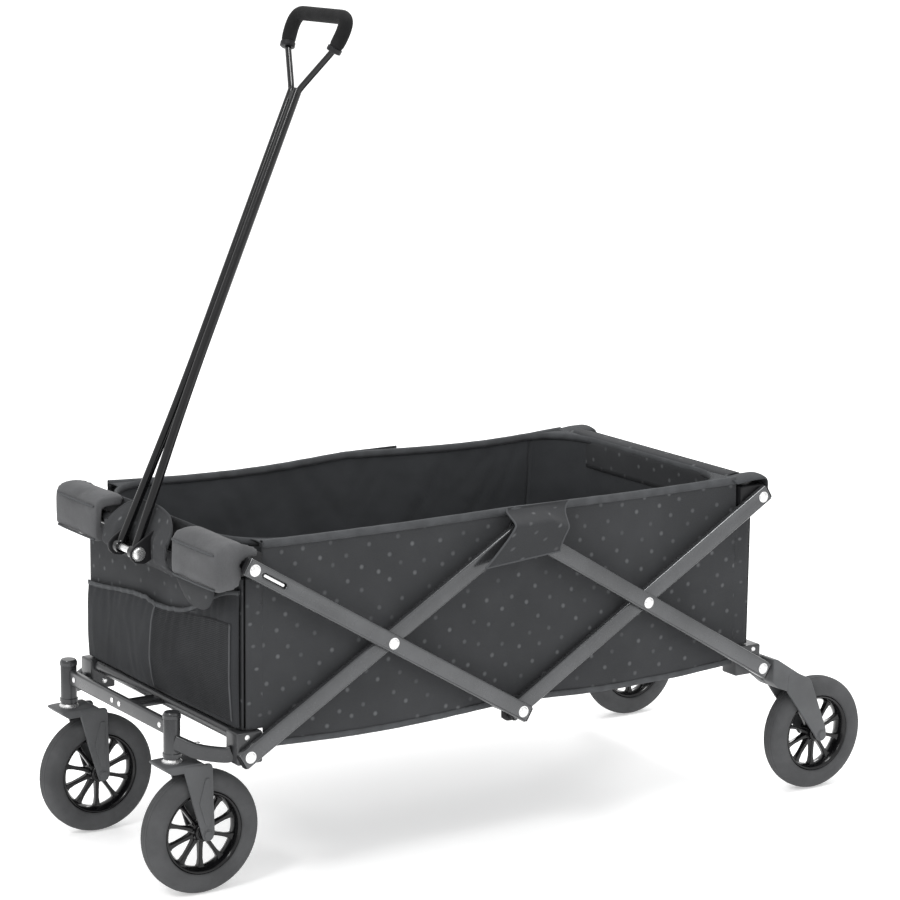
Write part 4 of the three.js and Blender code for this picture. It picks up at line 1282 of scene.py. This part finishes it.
def wall_at(x, z, seed):
    """How far the dotted cloth of a side lies from the middle plane, in mm."""
    slack = bpy.context.scene.wagon_cloth.slack / MM
    reach = WALL + 0.3 - slack * looseness(x) * smooth(300, RIM, z) + crease(x, z, seed)
    held = smooth(0, 30, x - WALL_START) * smooth(0, 30, WALL_END - x)
    reach = WALL + (reach - WALL) * (0.25 + 0.75 * held)
    near_post = 1 - smooth(NOTCH_START, NOTCH_START + 25, x) * (1 - smooth(NOTCH_END - 25, NOTCH_END, x))
    return min(WALL + 4.6, max(reach, WALL - 1.6 * near_post - 30 * (1 - near_post)))


def columns_between(start, end, step, kept=()):
    """Places from start to end about one step apart, with the kept places among them."""
    marks = sorted({start, end, *kept})
    places = []
    for a, b in zip(marks, marks[1:]):
        count = max(1, round((b - a) / step))
        places += [a + (b - a) * i / count for i in range(count)]
    return places + [end]


def tape_profile(points, tall, flip=1):
    """Cross section of a tape: each point is in mm across the edge, and in shares of the tape's width along it."""
    return [(a * MM * flip, b * tall) for a, b in points]


class WAGON_OT_side_cloth(bpy.types.Operator):
    """Dotted cloth of both sides with its lining, rim binding and hem"""
    bl_idname = "wagon.side_cloth"
    bl_label = "Side cloth"

    def execute(self, context):
        cloth = context.scene.wagon_cloth
        places = columns_between(WALL_START + 0.7, WALL_END - 0.7, 6.0,
                                 (NOTCH_START - 1, NOTCH_START, NOTCH_END, NOTCH_END + 1))
        for (word, side), seed in zip(SIDES, WALL_SEEDS):
            def wall(s, t):
                x = places[round(s * (len(places) - 1))]
                inside = NOTCH_START <= x <= NOTCH_END
                bottom, top = (hem_at(x), rim_at(x)) if inside else (CORNER, CORNER_TOP)
                z = bottom + (top - bottom) * t
                return at(x, side * wall_at(x, z, seed), z)
            outside = put(f"side_cloth_{word}", Shape().sheet(wall, len(places) - 1, 64), "dotted_cloth", "front_top",
                          (f"side_panel_{word}",), 80, True, cloth.thickness)

            spread = columns_between(WALL_START + BEND, WALL_END - BEND, 6.0)

            def inside_wall(s, t):
                x = spread[round(s * (len(spread) - 1))]
                z = MAT + 1 + (rim_at(x) - 0.5 - MAT - 1) * t
                return at(x, side * (wall_at(x, z, seed) - LINED), z)
            shape = Shape().sheet(inside_wall, len(spread) - 1, 50)
            lining = put(f"side_lining_{word}", shape, "lining_cloth", "front_top", (), 80,
                         (FOOT.x + (WALL_START + BEND) * MM, FOLD_MIDDLE), cloth.thickness)

            rim = [x for x in places if NOTCH_START <= x <= NOTCH_END]
            path = [at(x, side * (wall_at(x, rim_at(x), seed) - LINED / 2), rim_at(x)) for x in rim]
            tall = cloth.tape
            flip = 1 if side < 0 else -1
            profile = [(3.4, -1.0), (3.5, -0.5), (3.3, 0.05), (2.0, 0.22), (0, 0.28), (-2.0, 0.22), (-3.3, 0.05),
                       (-3.5, -0.5), (-3.4, -1.0)]
            binding = put(f"rim_binding_{word}", Shape().band(path, tape_profile(profile, tall, flip)), "edge_tape",
                          "front_top", (), 80, (FOOT.x + NOTCH_START * MM, FOLD_BINDING), 0.9 * MM)
            path = [at(x, side * wall_at(x, hem_at(x), seed), hem_at(x)) for x in rim]
            profile = [(1.5, 0.9), (1.6, 0.45), (1.5, 0.0), (0, -0.16), (-1.5, 0.0), (-1.6, 0.45), (-1.5, 0.9)]
            hem = put(f"hem_tape_{word}", Shape().band(path, tape_profile(profile, tall, flip)), "edge_tape",
                      "front_top", (), 80, True, 0.8 * MM)
        return {"FINISHED"}


def end_line(front, side_reach, inside_x, steps=18):
    """Plan of the lining round one end of the bin, from the left side to the right side, in mm."""
    middle = (WALL_START if front else WALL_END) + (BEND if front else -BEND)
    straight = WALL - LINED - BEND
    deep = abs(inside_x - middle)
    turn = -1 if front else 1
    left = [(middle + turn * deep * math.sin(a), -straight - (side_reach[0] - straight) * math.cos(a))
            for a in (math.pi / 2 * i / steps for i in range(steps + 1))]
    right = [(middle + turn * deep * math.sin(a), straight + (side_reach[1] - straight) * math.cos(a))
             for a in (math.pi / 2 * (1 - i / steps) for i in range(steps + 1))]
    between = [(inside_x, -straight + 2 * straight * i / 44) for i in range(1, 44)]
    return left + between + right


class WAGON_OT_end_cloth(bpy.types.Operator):
    """Front and rear panels, the lining round both ends, the corner caps and the floor mat"""
    bl_idname = "wagon.end_cloth"
    bl_label = "End cloth and floor"

    def execute(self, context):
        cloth = context.scene.wagon_cloth
        for end, front in (("front", True), ("rear", False)):
            self.panel(cloth, end, front)
            self.lining(cloth, end, front)
            for (word, side), seed in zip(SIDES, WALL_SEEDS):
                piece = self.gusset(cloth, end, front, word, side, seed)
                if not front:
                    self.cap(word, side)
        self.rail_cover()
        self.floor()
        return {"FINISHED"}

    @staticmethod
    def rail_cover():
        """Strip of dotted cloth over the rear rail, from inside the bin to its outer side."""
        inside, outside = WALL_END - 26.5, WALL_END + 2.6
        half = inner("rear_top_fitting_right", 1) / MM + 1
        section = [(inside - 0.6, 462), (inside - 0.8, 490), (inside - 0.3, 504), (inside + 2.5, 510.5),
                   (inside + 8, 514), (outside - 9, 515), (outside - 2.5, 512.5), (outside, 507), (outside + 0.2, 490)]
        line = flowing([(x, z, 0.0) for x, z in section], 4)
        count = len(line) - 1

        def point(s, t):
            spot, y = line[round(t * count)], half * (2 * s - 1)
            dent = 0.9 * noise.noise(Vector((y * 0.02, spot.y * 0.02, 99.0)))
            return at(spot.x - max(0.0, dent), y, spot.y)
        piece = put("rear_rail_cover", Shape().sheet(point, 60, count), "dotted_cloth", "rear_top", (), 80, False,
                    1.2 * MM)

    @staticmethod
    def panel(cloth, end, front):
        place = from_foot(FRONT_WALL if front else REAR_WALL)
        turn = -1 if front else 1
        high_part = inner(f"{end}_top_fitting_right", 1) / MM - 4
        places = columns_between(-WALL + 1.5, WALL - 1.5, 6.0, (-high_part - 1, -high_part, high_part, high_part + 1))

        def panel(s, t):
            y = places[round(s * (len(places) - 1))]
            top = RIM if abs(y) <= high_part else CORNER_TOP
            z = CORNER + (top - CORNER) * t
            loose = math.cos(y / WALL * math.pi / 2) * math.sin(math.pi * (z - CORNER) / (RIM - CORNER))
            dent = noise.noise(Vector((y * 0.012, z * 0.016, 21.0 if front else 33.0)))
            return at(place + turn * (0.2 + max(-0.6, 1.6 * dent * loose)), y, z)
        piece = put(f"{end}_cloth", Shape().sheet(panel, len(places) - 1, 44), "dotted_cloth", f"{end}_top",
                    (f"{end}_panel",), 80, False, cloth.thickness)

    @staticmethod
    def lining(cloth, end, front):
        ends = WALL_START + BEND if front else WALL_END - BEND
        rows = 46

        def plan(z):
            reach = [wall_at(ends, z, seed) - LINED for seed in WALL_SEEDS]
            wall = WALL_START + 1.0 if front else WALL_END - 1.0 - 24 * smooth(CORNER, RIM - 70, z)
            return end_line(front, reach, wall)
        lines = [plan(MAT + 1 + (rim_at(ends) - 0.5 - MAT - 1) * j / rows) for j in range(rows + 1)]
        count = len(lines[0]) - 1

        def point(s, t):
            i, j = round(s * count), round(t * rows)
            x, y = lines[j][i]
            z = MAT + 1 + (rim_at(ends) - 0.5 - MAT - 1) * t
            free = math.sin(math.pi * s) * smooth(0, 0.2, t) * smooth(0, 0.12, 1 - t)
            dent = noise.noise(Vector((y * 0.014, z * 0.02, 41.0 if front else 57.0)))
            fold = 0.3 - abs(noise.noise(Vector((y * 0.03 + z * 0.012, z * 0.01, 63.0))))
            inwards = (1.8 * dent + 2.2 * fold) * free
            return at(x + (abs(inwards) if front else -abs(inwards)), y, z)
        piece = put(f"{end}_lining", Shape().sheet(point, count, rows), "lining_cloth", f"{end}_top", (), 80, False,
                    cloth.thickness)
        line = plan(rim_at(ends))
        path = [at(x, y, rim_at(ends) - 0.5) for x, y in line]
        profile = [(1.7, -1.0), (1.8, -0.5), (1.5, 0.05), (0, 0.2), (-1.5, 0.05), (-1.8, -0.5), (-1.7, -1.0)]
        tape = put(f"{end}_lining_tape", Shape().band(path, tape_profile(profile, cloth.tape)), "edge_tape",
                   f"{end}_top", (), 80, False, 0.8 * MM)

    @staticmethod
    def gusset(cloth, end, front, word, side, seed):
        """Cloth that closes the top of a corner between the lining and the dotted cloth."""
        middle = (WALL_START + BEND) if front else (WALL_END - BEND)
        turn = -1 if front else 1
        reach = wall_at(middle, rim_at(middle), seed)
        straight = WALL - LINED - BEND
        wall = WALL_START + 1.0 if front else WALL_END - 25.0
        deep = abs(wall - middle)
        edge_x = abs((NOTCH_START if front else NOTCH_END) - middle)

        def point(s, t):
            run = edge_x * s
            inside = straight + (reach - LINED - straight) * math.sqrt(max(0.0, 1 - (run / deep) ** 2))
            x = middle + turn * run
            outside = wall_at(x, RIM - 3, seed) - LINED / 2
            y = inside + (outside - inside) * t
            puff = 1.5 * math.sin(math.pi * t) * s
            return at(x, side * y, rim_at(middle) - 0.6 + puff)
        return put(f"{end}_gusset_{word}", Shape().sheet(point, 16, 8), "lining_cloth", f"{end}_top", (), 80, False,
                   cloth.thickness)

    @staticmethod
    def cap(word, side):
        """Cloth over a rear fitting, from the side of the bin and down behind it."""
        fitting = f"rear_top_fitting_{word}"
        x0, x1 = NOTCH_END - 8, from_foot(high(fitting).x) + 3
        y0, y1 = inner(fitting, side) / MM - 6, outer("rear_panel", 1) / MM + 9

        def point(s, t):
            run = t * (x1 - x0 + 34)
            y = y0 + (y1 - y0) * s
            dome = 5.0 * math.sin(math.pi * s) ** 0.6
            if run < x1 - x0 - 8:
                return at(x0 + run, side * y, RIM - 7 + dome + 3 * smooth(0, 40, run))
            bent = run - (x1 - x0 - 8)
            drop = smooth(0, 16, bent)
            return at(x1 - 8 + 8 * math.sin(min(1.0, bent / 12) * math.pi / 2), side * y,
                      RIM - 4 + dome * (1 - 0.6 * drop) - max(0.0, bent - 5))
        piece = put(f"rear_cap_{word}", Shape().sheet(point, 18, 34), "lining_cloth", "rear_top", (), 80, False,
                    2.4 * MM, 1)

    @staticmethod
    def floor():
        lo, hi = low("bin_floor"), high("bin_floor")
        x0, x1 = from_foot(lo.x) + 2.5, from_foot(hi.x) - 2.5
        side_y, end_y = WALL - 3.5, inner("front_top_fitting_right", 1) / MM - 4
        places = columns_between(x0, x1, 12.0, (NOTCH_START - 1, NOTCH_START, NOTCH_END, NOTCH_END + 1))

        def mat(s, t):
            x = places[round(s * (len(places) - 1))]
            reach = side_y if NOTCH_START <= x <= NOTCH_END else end_y
            y = reach * (2 * t - 1)
            z = (lo.z + hi.z) / 2 / MM + 0.5 * noise.noise(Vector((x * 0.01, y * 0.012, 71.0)))
            return at(x, y, z)
        piece = put("floor_mat", Shape().sheet(mat, len(places) - 1, 36), "lining_cloth", "front_top", ("bin_floor",),
                    60, True, 3.6 * MM)


POCKET_LOW = FLOOR_Z / MM - 5
POCKET_REACH = 228  # from the middle to each end of the pocket, in mm
NET_RIGHT, NET_LEFT = -214, 6
PIPING = 1.5 * MM


class WAGON_OT_pocket(bpy.types.Operator):
    """Gathered front pocket with its net and the tape along its opening"""
    bl_idname = "wagon.pocket"
    bl_label = "Front pocket"

    @staticmethod
    def hem(y):
        """Height of the pocket's opening: it rises towards the left corner and dips beside the middle."""
        if y > 42:
            return 383 - 17 * smooth(42, 238, y)
        if y > -44:
            return 384 - 4 * math.sin((y + 44) / 86 * math.pi)
        return 385 + 62 * smooth(-44, -235, y) if y > -235 else 447

    @classmethod
    def net_top(cls, y):
        """Upper edge of the net, as a share of the pocket's height."""
        return (379 + 20 * smooth(NET_LEFT, NET_RIGHT, y) - POCKET_LOW) / (cls.hem(y) - POCKET_LOW)

    @classmethod
    def place(cls, y, t, lift=0.0):
        """Point of the pocket's cloth, held flat at its ends and seams and full between them."""
        z = POCKET_LOW + (cls.hem(y) - POCKET_LOW) * t
        ends = math.sqrt(max(0.0, 1 - (abs(y) / 228.5) ** 8))
        belly = (0.30 + 0.70 * math.sin(math.pi * min(1.0, t * 1.05)) ** 0.7) * (0.82 + 0.18 * math.cos(y * 0.022))
        gather = 0.7 * math.sin(y * 0.30 + 1.6 * noise.noise(Vector((y * 0.03, 5.0, 2.0)))) * smooth(0.62, 1.0, t)
        soft = 2.6 * noise.noise(Vector((y * 0.016, z * 0.02, 12.0))) * math.sin(math.pi * t)
        tuck = 2.0 * (0.3 - abs(noise.noise(Vector((y * 0.035, z * 0.012, 80.0)))))
        out = 2.0 + (14.5 * belly + soft + tuck + gather) * ends
        edge = from_foot(low("front_panel").x) - 0.4
        return at(edge - max(1.2, min(out, 20.5)) - lift, y, z)

    def execute(self, context):
        cloth = context.scene.wagon_cloth
        places = columns_between(-POCKET_REACH, POCKET_REACH, 3.0)

        def front(s, t):
            return self.place(places[round(s * (len(places) - 1))], t)
        bag = put("pocket_cloth", Shape().sheet(front, len(places) - 1, 54), "pocket_cloth", "front_top",
                  ("front_pocket",), 80, False, cloth.thickness)
        inset = columns_between(NET_RIGHT, NET_LEFT, 3.0)

        def net(s, t):
            y = inset[round(s * (len(inset) - 1))]
            return self.place(y, 0.04 + (self.net_top(y) - 0.04) * t, 0.9)
        mesh = put("pocket_net", Shape().sheet(net, len(inset) - 1, 50), "net_cloth", "front_top", (), 80, False,
                   0.7 * MM)
        shape = Shape()
        path = [self.place(y, 1.0) for y in places]
        profile = [(-1.2, -0.55), (-1.3, -0.2), (-1.1, 0.1), (0, 0.18), (1.1, 0.1), (1.3, -0.2), (1.2, -0.55)]
        shape.band(path, tape_profile(profile, cloth.tape))
        shape.band([self.place(y, self.net_top(y), 1.0) for y in inset],
                   tape_profile(((1.3, -0.4), (1.4, 0.0), (1.3, 0.4)), cloth.tape))
        for y in (NET_RIGHT, NET_LEFT):
            run = [self.place(y, 0.04 + (self.net_top(y) - 0.04) * j / 40, 1.3) for j in range(41)]
            shape.sheet(lambda s, t: run[round(s * 40)] + Vector((0, (t - 0.5) * 4.5 * MM, 0)), 40, 2)
        tape = put("pocket_tape", shape, "edge_tape", "front_top", (), 80, False, 0.7 * MM)
        return {"FINISHED"}


PAD_START, PAD_END = 116, 242.6  # from the middle plane, in mm
PAD_SPARE = 3.4 * MM  # how far a stuffed pad may pass the frame's own


class WAGON_OT_corner_pads(bpy.types.Operator):
    """Stuffed pads over the front corners, with the flap below the left one"""
    bl_idname = "wagon.corner_pads"
    bl_label = "Corner pads"

    def execute(self, context):
        for word, side in SIDES:
            piece = self.pad(word, side)
            inflate(piece, 12, 3.0, 2.2 * MM, 4 * MM)
            self.settle(piece, word)
            seam = Shape()
            for x, z in ((-500.5, 505), (-499.5, 456)):
                line = [at(x - 1.2 + 1.6 * abs(2 * i / 20 - 1) ** 4, side * (120 + 118 * i / 20), z) for i in range(21)]
                seam.tube(line, PIPING, steps=10)
            put(f"pad_piping_{word}", seam, "edge_tape", "front_top")
        flap = Shape().sheet(self.flap, 28, 18)
        piece = put("pad_flap", flap, "dotted_cloth", "front_top", (), 80, False, 3.0 * MM, 1)
        return {"FINISHED"}

    @staticmethod
    def flap(s, t):
        """Half-round tongue that hangs from the lower edge of the left pad."""
        y = -160.0 + 50.0 * (2 * s - 1)
        deep = 43 * math.sqrt(max(0.0, 1 - abs(2 * s - 1) ** 2.6))
        z = 456 - deep * t
        return at(-488 - 3.5 * math.sin(math.pi * min(1.0, t)) + 6 * t, y, z)

    @staticmethod
    def pad(word, side):
        """Roll round the front rail with a cheek at the corner, as one closed shape to be stuffed."""
        section = [(-452.5, 504.5), (-452.5, 517.5), (-470, 520.5), (-487, 519.5), (-497.5, 512.5), (-500.8, 499),
                   (-501, 474), (-499.5, 458), (-494, 451), (-484, 452), (-481, 460), (-483, 467.5),
                   (-487.8, 470), (-487.8, 503.6)]
        line = rounded_corners([Vector((x, z)) for x, z in section], 6.0, 4)
        centre = Vector((-474.0, 486.0))
        shape, rings = Shape(), []
        spots = [PAD_START, 117, 119.5, 124] + [124 + 108 * i / 26 for i in range(1, 27)]
        for y in spots + [236.5, 239.8, 241.8, PAD_END]:
            rim = min(y - PAD_START, PAD_END - y)
            size = 1.0 - 0.030 * (1 - smooth(0, 8, rim))
            ring = []
            for p in line:
                q = centre + (p - centre) * size
                swell = 0.8 * noise.noise(Vector((y * 0.03, q.x * 0.03, q.y * 0.03 + side * 4)))
                away = (q - centre).normalized() * (swell if (p - centre).length > 20 else 0.0)
                q = q + away
                ring.append(at(q.x, side * y, q.y))
            rings.append(ring)
        shape.skin(rings)
        cheek = rounded_corners([(-499.5, 458), (-494, 452.5), (-470, 455), (-461.5, 462), (-460.5, 492), (-452, 496.5),
                                 (-434, 499), (-434, 510), (-452.5, 517.5), (-470, 520), (-487, 519), (-497.5, 512),
                                 (-500.5, 499)], 5.0, 4)
        shape.plate([[(x * MM, z * MM) for x, z in cheek]], 5.0 * MM, at(0, side * 243.0, 0), X_AXIS, Z_AXIS, 2.2 * MM)
        return put(f"pad_{word}", shape, "pad_cloth", "front_top", (f"corner_pad_{word}",), 60.0)

    @staticmethod
    def settle(piece, word):
        """Keeps the pad off the fitting that it wraps and near the frame's own pad."""
        lo, hi = low(f"corner_pad_{word}"), high(f"corner_pad_{word}")
        for vert in piece.data.vertices:
            vert.co.y = min(max(vert.co.y, lo.y - PAD_SPARE), hi.y + PAD_SPARE)


class WAGON_OT_trim(bpy.types.Operator):
    """Cloth arch behind the handle, and side flaps over the hubs"""
    bl_idname = "wagon.trim"
    bl_label = "Trim"

    def execute(self, context):
        arch = put("handle_arch", Shape().sheet(self.arch, 60, 36), "dotted_cloth", "front_top", (), 80, False,
                   3.2 * MM, 1)
        line = [self.arch(i / 60, 1.0) for i in range(61)]
        piping = put("arch_piping", Shape().tube(line, 2.2 * MM, steps=12), "dotted_cloth", "front_top")
        for word, side in SIDES:
            def flap(s, t):
                left = -74 + 62 * t + 6 * math.sin(math.pi * t)
                right = 56 + 40 * t ** 1.5
                x = left + (right - left) * s
                z = 441 + 10 * s + (RIM + 2.2 - 441 - 10 * s) * t
                bar_top = 500.0 - 0.55 * max(0.0, abs(x) - 44.0)
                over = smooth(RIM - 1, bar_top - 4, z)
                ripple = 0.9 * noise.noise(Vector((x * 0.03, z * 0.03, 90.0 + side)))
                return at(x, side * (WALL + 1.5 + (38.5 - 3.0 * (1 - t)) * over + ripple), z)
            narrowed = (HUB.x, FOLDED_SHARE)
            piece = put(f"hub_flap_{word}", Shape().sheet(flap, 34, 40), "dotted_cloth", "middle_hubs", (), 80,
                        narrowed, 1.6 * MM, 1)
            edge = Shape()
            edge.tube([flap(i / 34, 0.0) for i in range(35)], PIPING, steps=10)
            for s in (0.0, 1.0):
                edge.tube([flap(s, j / 40) for j in range(40)], PIPING, steps=10)
            tape = put(f"hub_flap_edge_{word}", edge, "edge_tape", "middle_hubs", (), 80, narrowed)
        return {"FINISHED"}

    @staticmethod
    def arch(s, t):
        """Point of the cloth that stands up behind the handle and is tucked in below."""
        y = (92 + 14 * (1 - t)) * (2 * s - 1)
        share = abs(2 * s - 1)
        top = 478 + 50 * math.sqrt(max(0.0, 1 - share ** 2.6)) + 0.5
        z = 441 + (top - 441) * t
        lean = max(0.0, z - 486) * 0.46
        bulge = 9.0 * smooth(40, 62, abs(y)) * smooth(520, 476, z) * smooth(438, 462, z)
        ripple = 2.2 * noise.noise(Vector((y * 0.03, z * 0.04, 95.0))) * smooth(30, 60, abs(y))
        tuck = 11.0 * smooth(462, 441, z)
        return at(-487.2 + lean - bulge + ripple + tuck, y, z)


class WAGON_OT_stage(bpy.types.Operator):
    """Pale floor, soft studio light and the camera"""
    bl_idname = "wagon.stage"
    bl_label = "Stage"

    def execute(self, context):
        scene = context.scene
        stage = scene.wagon_stage
        self.camera(scene, stage)
        half = 60.0
        shape = Shape().sheet(lambda s, t: Vector((half * (2 * s - 1), half * (2 * t - 1), 0.0)), 8, 8)
        floor = bpy.data.objects.new("floor", shape.mesh("floor"))
        scene.collection.objects.link(floor)
        floor.data.materials.append(finish("floor_paint"))
        world = bpy.data.worlds.new("studio")
        world.use_nodes = True
        background = world.node_tree.nodes["Background"]
        background.inputs["Color"].default_value = (*stage.floor, 1.0)
        background.inputs["Strength"].default_value = stage.surround
        scene.world = world
        scene.view_settings.view_transform = "Standard"
        for name, place, size, power in (
                ("key", (-3.4, -1.6, 3.4), 0.9, 62.0), ("fill", (1.8, -4.0, 1.6), 2.4, 14.0),
                ("top", (0.2, -0.4, 4.0), 1.1, 62.0), ("back", (2.6, 3.0, 2.8), 1.2, 40.0)):
            self.lamp(scene, name, Vector(place), size, power)
        return {"FINISHED"}

    @staticmethod
    def lamp(scene, name, place, size, power):
        """A square soft lamp that faces the middle of the wagon."""
        lamp = bpy.data.lights.new(name, "AREA")
        lamp.shape, lamp.size, lamp.energy = "SQUARE", size, power
        holder = bpy.data.objects.new(name, lamp)
        scene.collection.objects.link(holder)
        holder.location = place
        holder.rotation_euler = (Vector((0, 0, 0.4)) - place).to_track_quat("-Z", "Y").to_euler()

    @staticmethod
    def camera(scene, stage):
        turn, rise = stage.azimuth, stage.elevation
        ahead = Vector((math.sin(turn) * math.cos(rise), math.cos(turn) * math.cos(rise), -math.sin(rise)))
        right = Vector((math.cos(turn), -math.sin(turn), 0.0))
        above = right.cross(ahead)
        right, above = (right * math.cos(stage.roll) + above * math.sin(stage.roll),
                        above * math.cos(stage.roll) - right * math.sin(stage.roll))
        lens = bpy.data.cameras.new("camera")
        lens.lens, lens.sensor_width, lens.sensor_fit = stage.lens, 36.0, "HORIZONTAL"
        lens.clip_end = 200.0
        holder = bpy.data.objects.new("camera", lens)
        scene.collection.objects.link(holder)
        turned = Matrix((right, above, -ahead)).transposed().to_4x4()
        holder.matrix_world = Matrix.Translation(Vector(stage.aim) - ahead * stage.distance) @ turned
        scene.camera = holder


OPERATORS = (
    WAGON_OT_stage, WAGON_OT_side_bars, WAGON_OT_corner_posts, WAGON_OT_middle, WAGON_OT_undercarriage,
    WAGON_OT_forks, WAGON_OT_wheels, WAGON_OT_handle, WAGON_OT_side_cloth, WAGON_OT_end_cloth, WAGON_OT_pocket,
    WAGON_OT_corner_pads, WAGON_OT_trim)
GROUPS = {"wagon_cloth": WagonCloth, "wagon_metal": WagonMetal, "wagon_wheels": WagonWheels, "wagon_stage": WagonStage}


class WAGON_PT_pieces(bpy.types.Panel):
    """Lists the pieces of the wagon and what can be changed about them"""
    bl_idname = "WAGON_PT_pieces"
    bl_label = "Folding wagon"
    bl_space_type = "VIEW_3D"
    bl_region_type = "UI"
    bl_category = "Wagon"

    def draw(self, context):
        for name, group in GROUPS.items():
            box = self.layout.box()
            box.label(text=name.replace("wagon_", "").capitalize())
            for prop in group.__annotations__:
                box.prop(getattr(context.scene, name), prop)
        column = self.layout.column(align=True)
        for operator in OPERATORS:
            column.operator(operator.bl_idname)


def register():
    for group in GROUPS.values():
        bpy.utils.register_class(group)
    for name, group in GROUPS.items():
        setattr(bpy.types.Scene, name, PointerProperty(type=group))
    for operator in OPERATORS:
        bpy.utils.register_class(operator)
    bpy.utils.register_class(WAGON_PT_pieces)


def unregister():
    bpy.utils.unregister_class(WAGON_PT_pieces)
    for operator in reversed(OPERATORS):
        bpy.utils.unregister_class(operator)
    for name in GROUPS:
        delattr(bpy.types.Scene, name)
    for group in reversed(list(GROUPS.values())):
        bpy.utils.unregister_class(group)


def main():
    """Makes the whole wagon and its stage."""
    register()
    for operator in OPERATORS:
        category, name = operator.bl_idname.split(".")
        getattr(getattr(bpy.ops, category), name)()


if __name__ == "__main__":
    main()
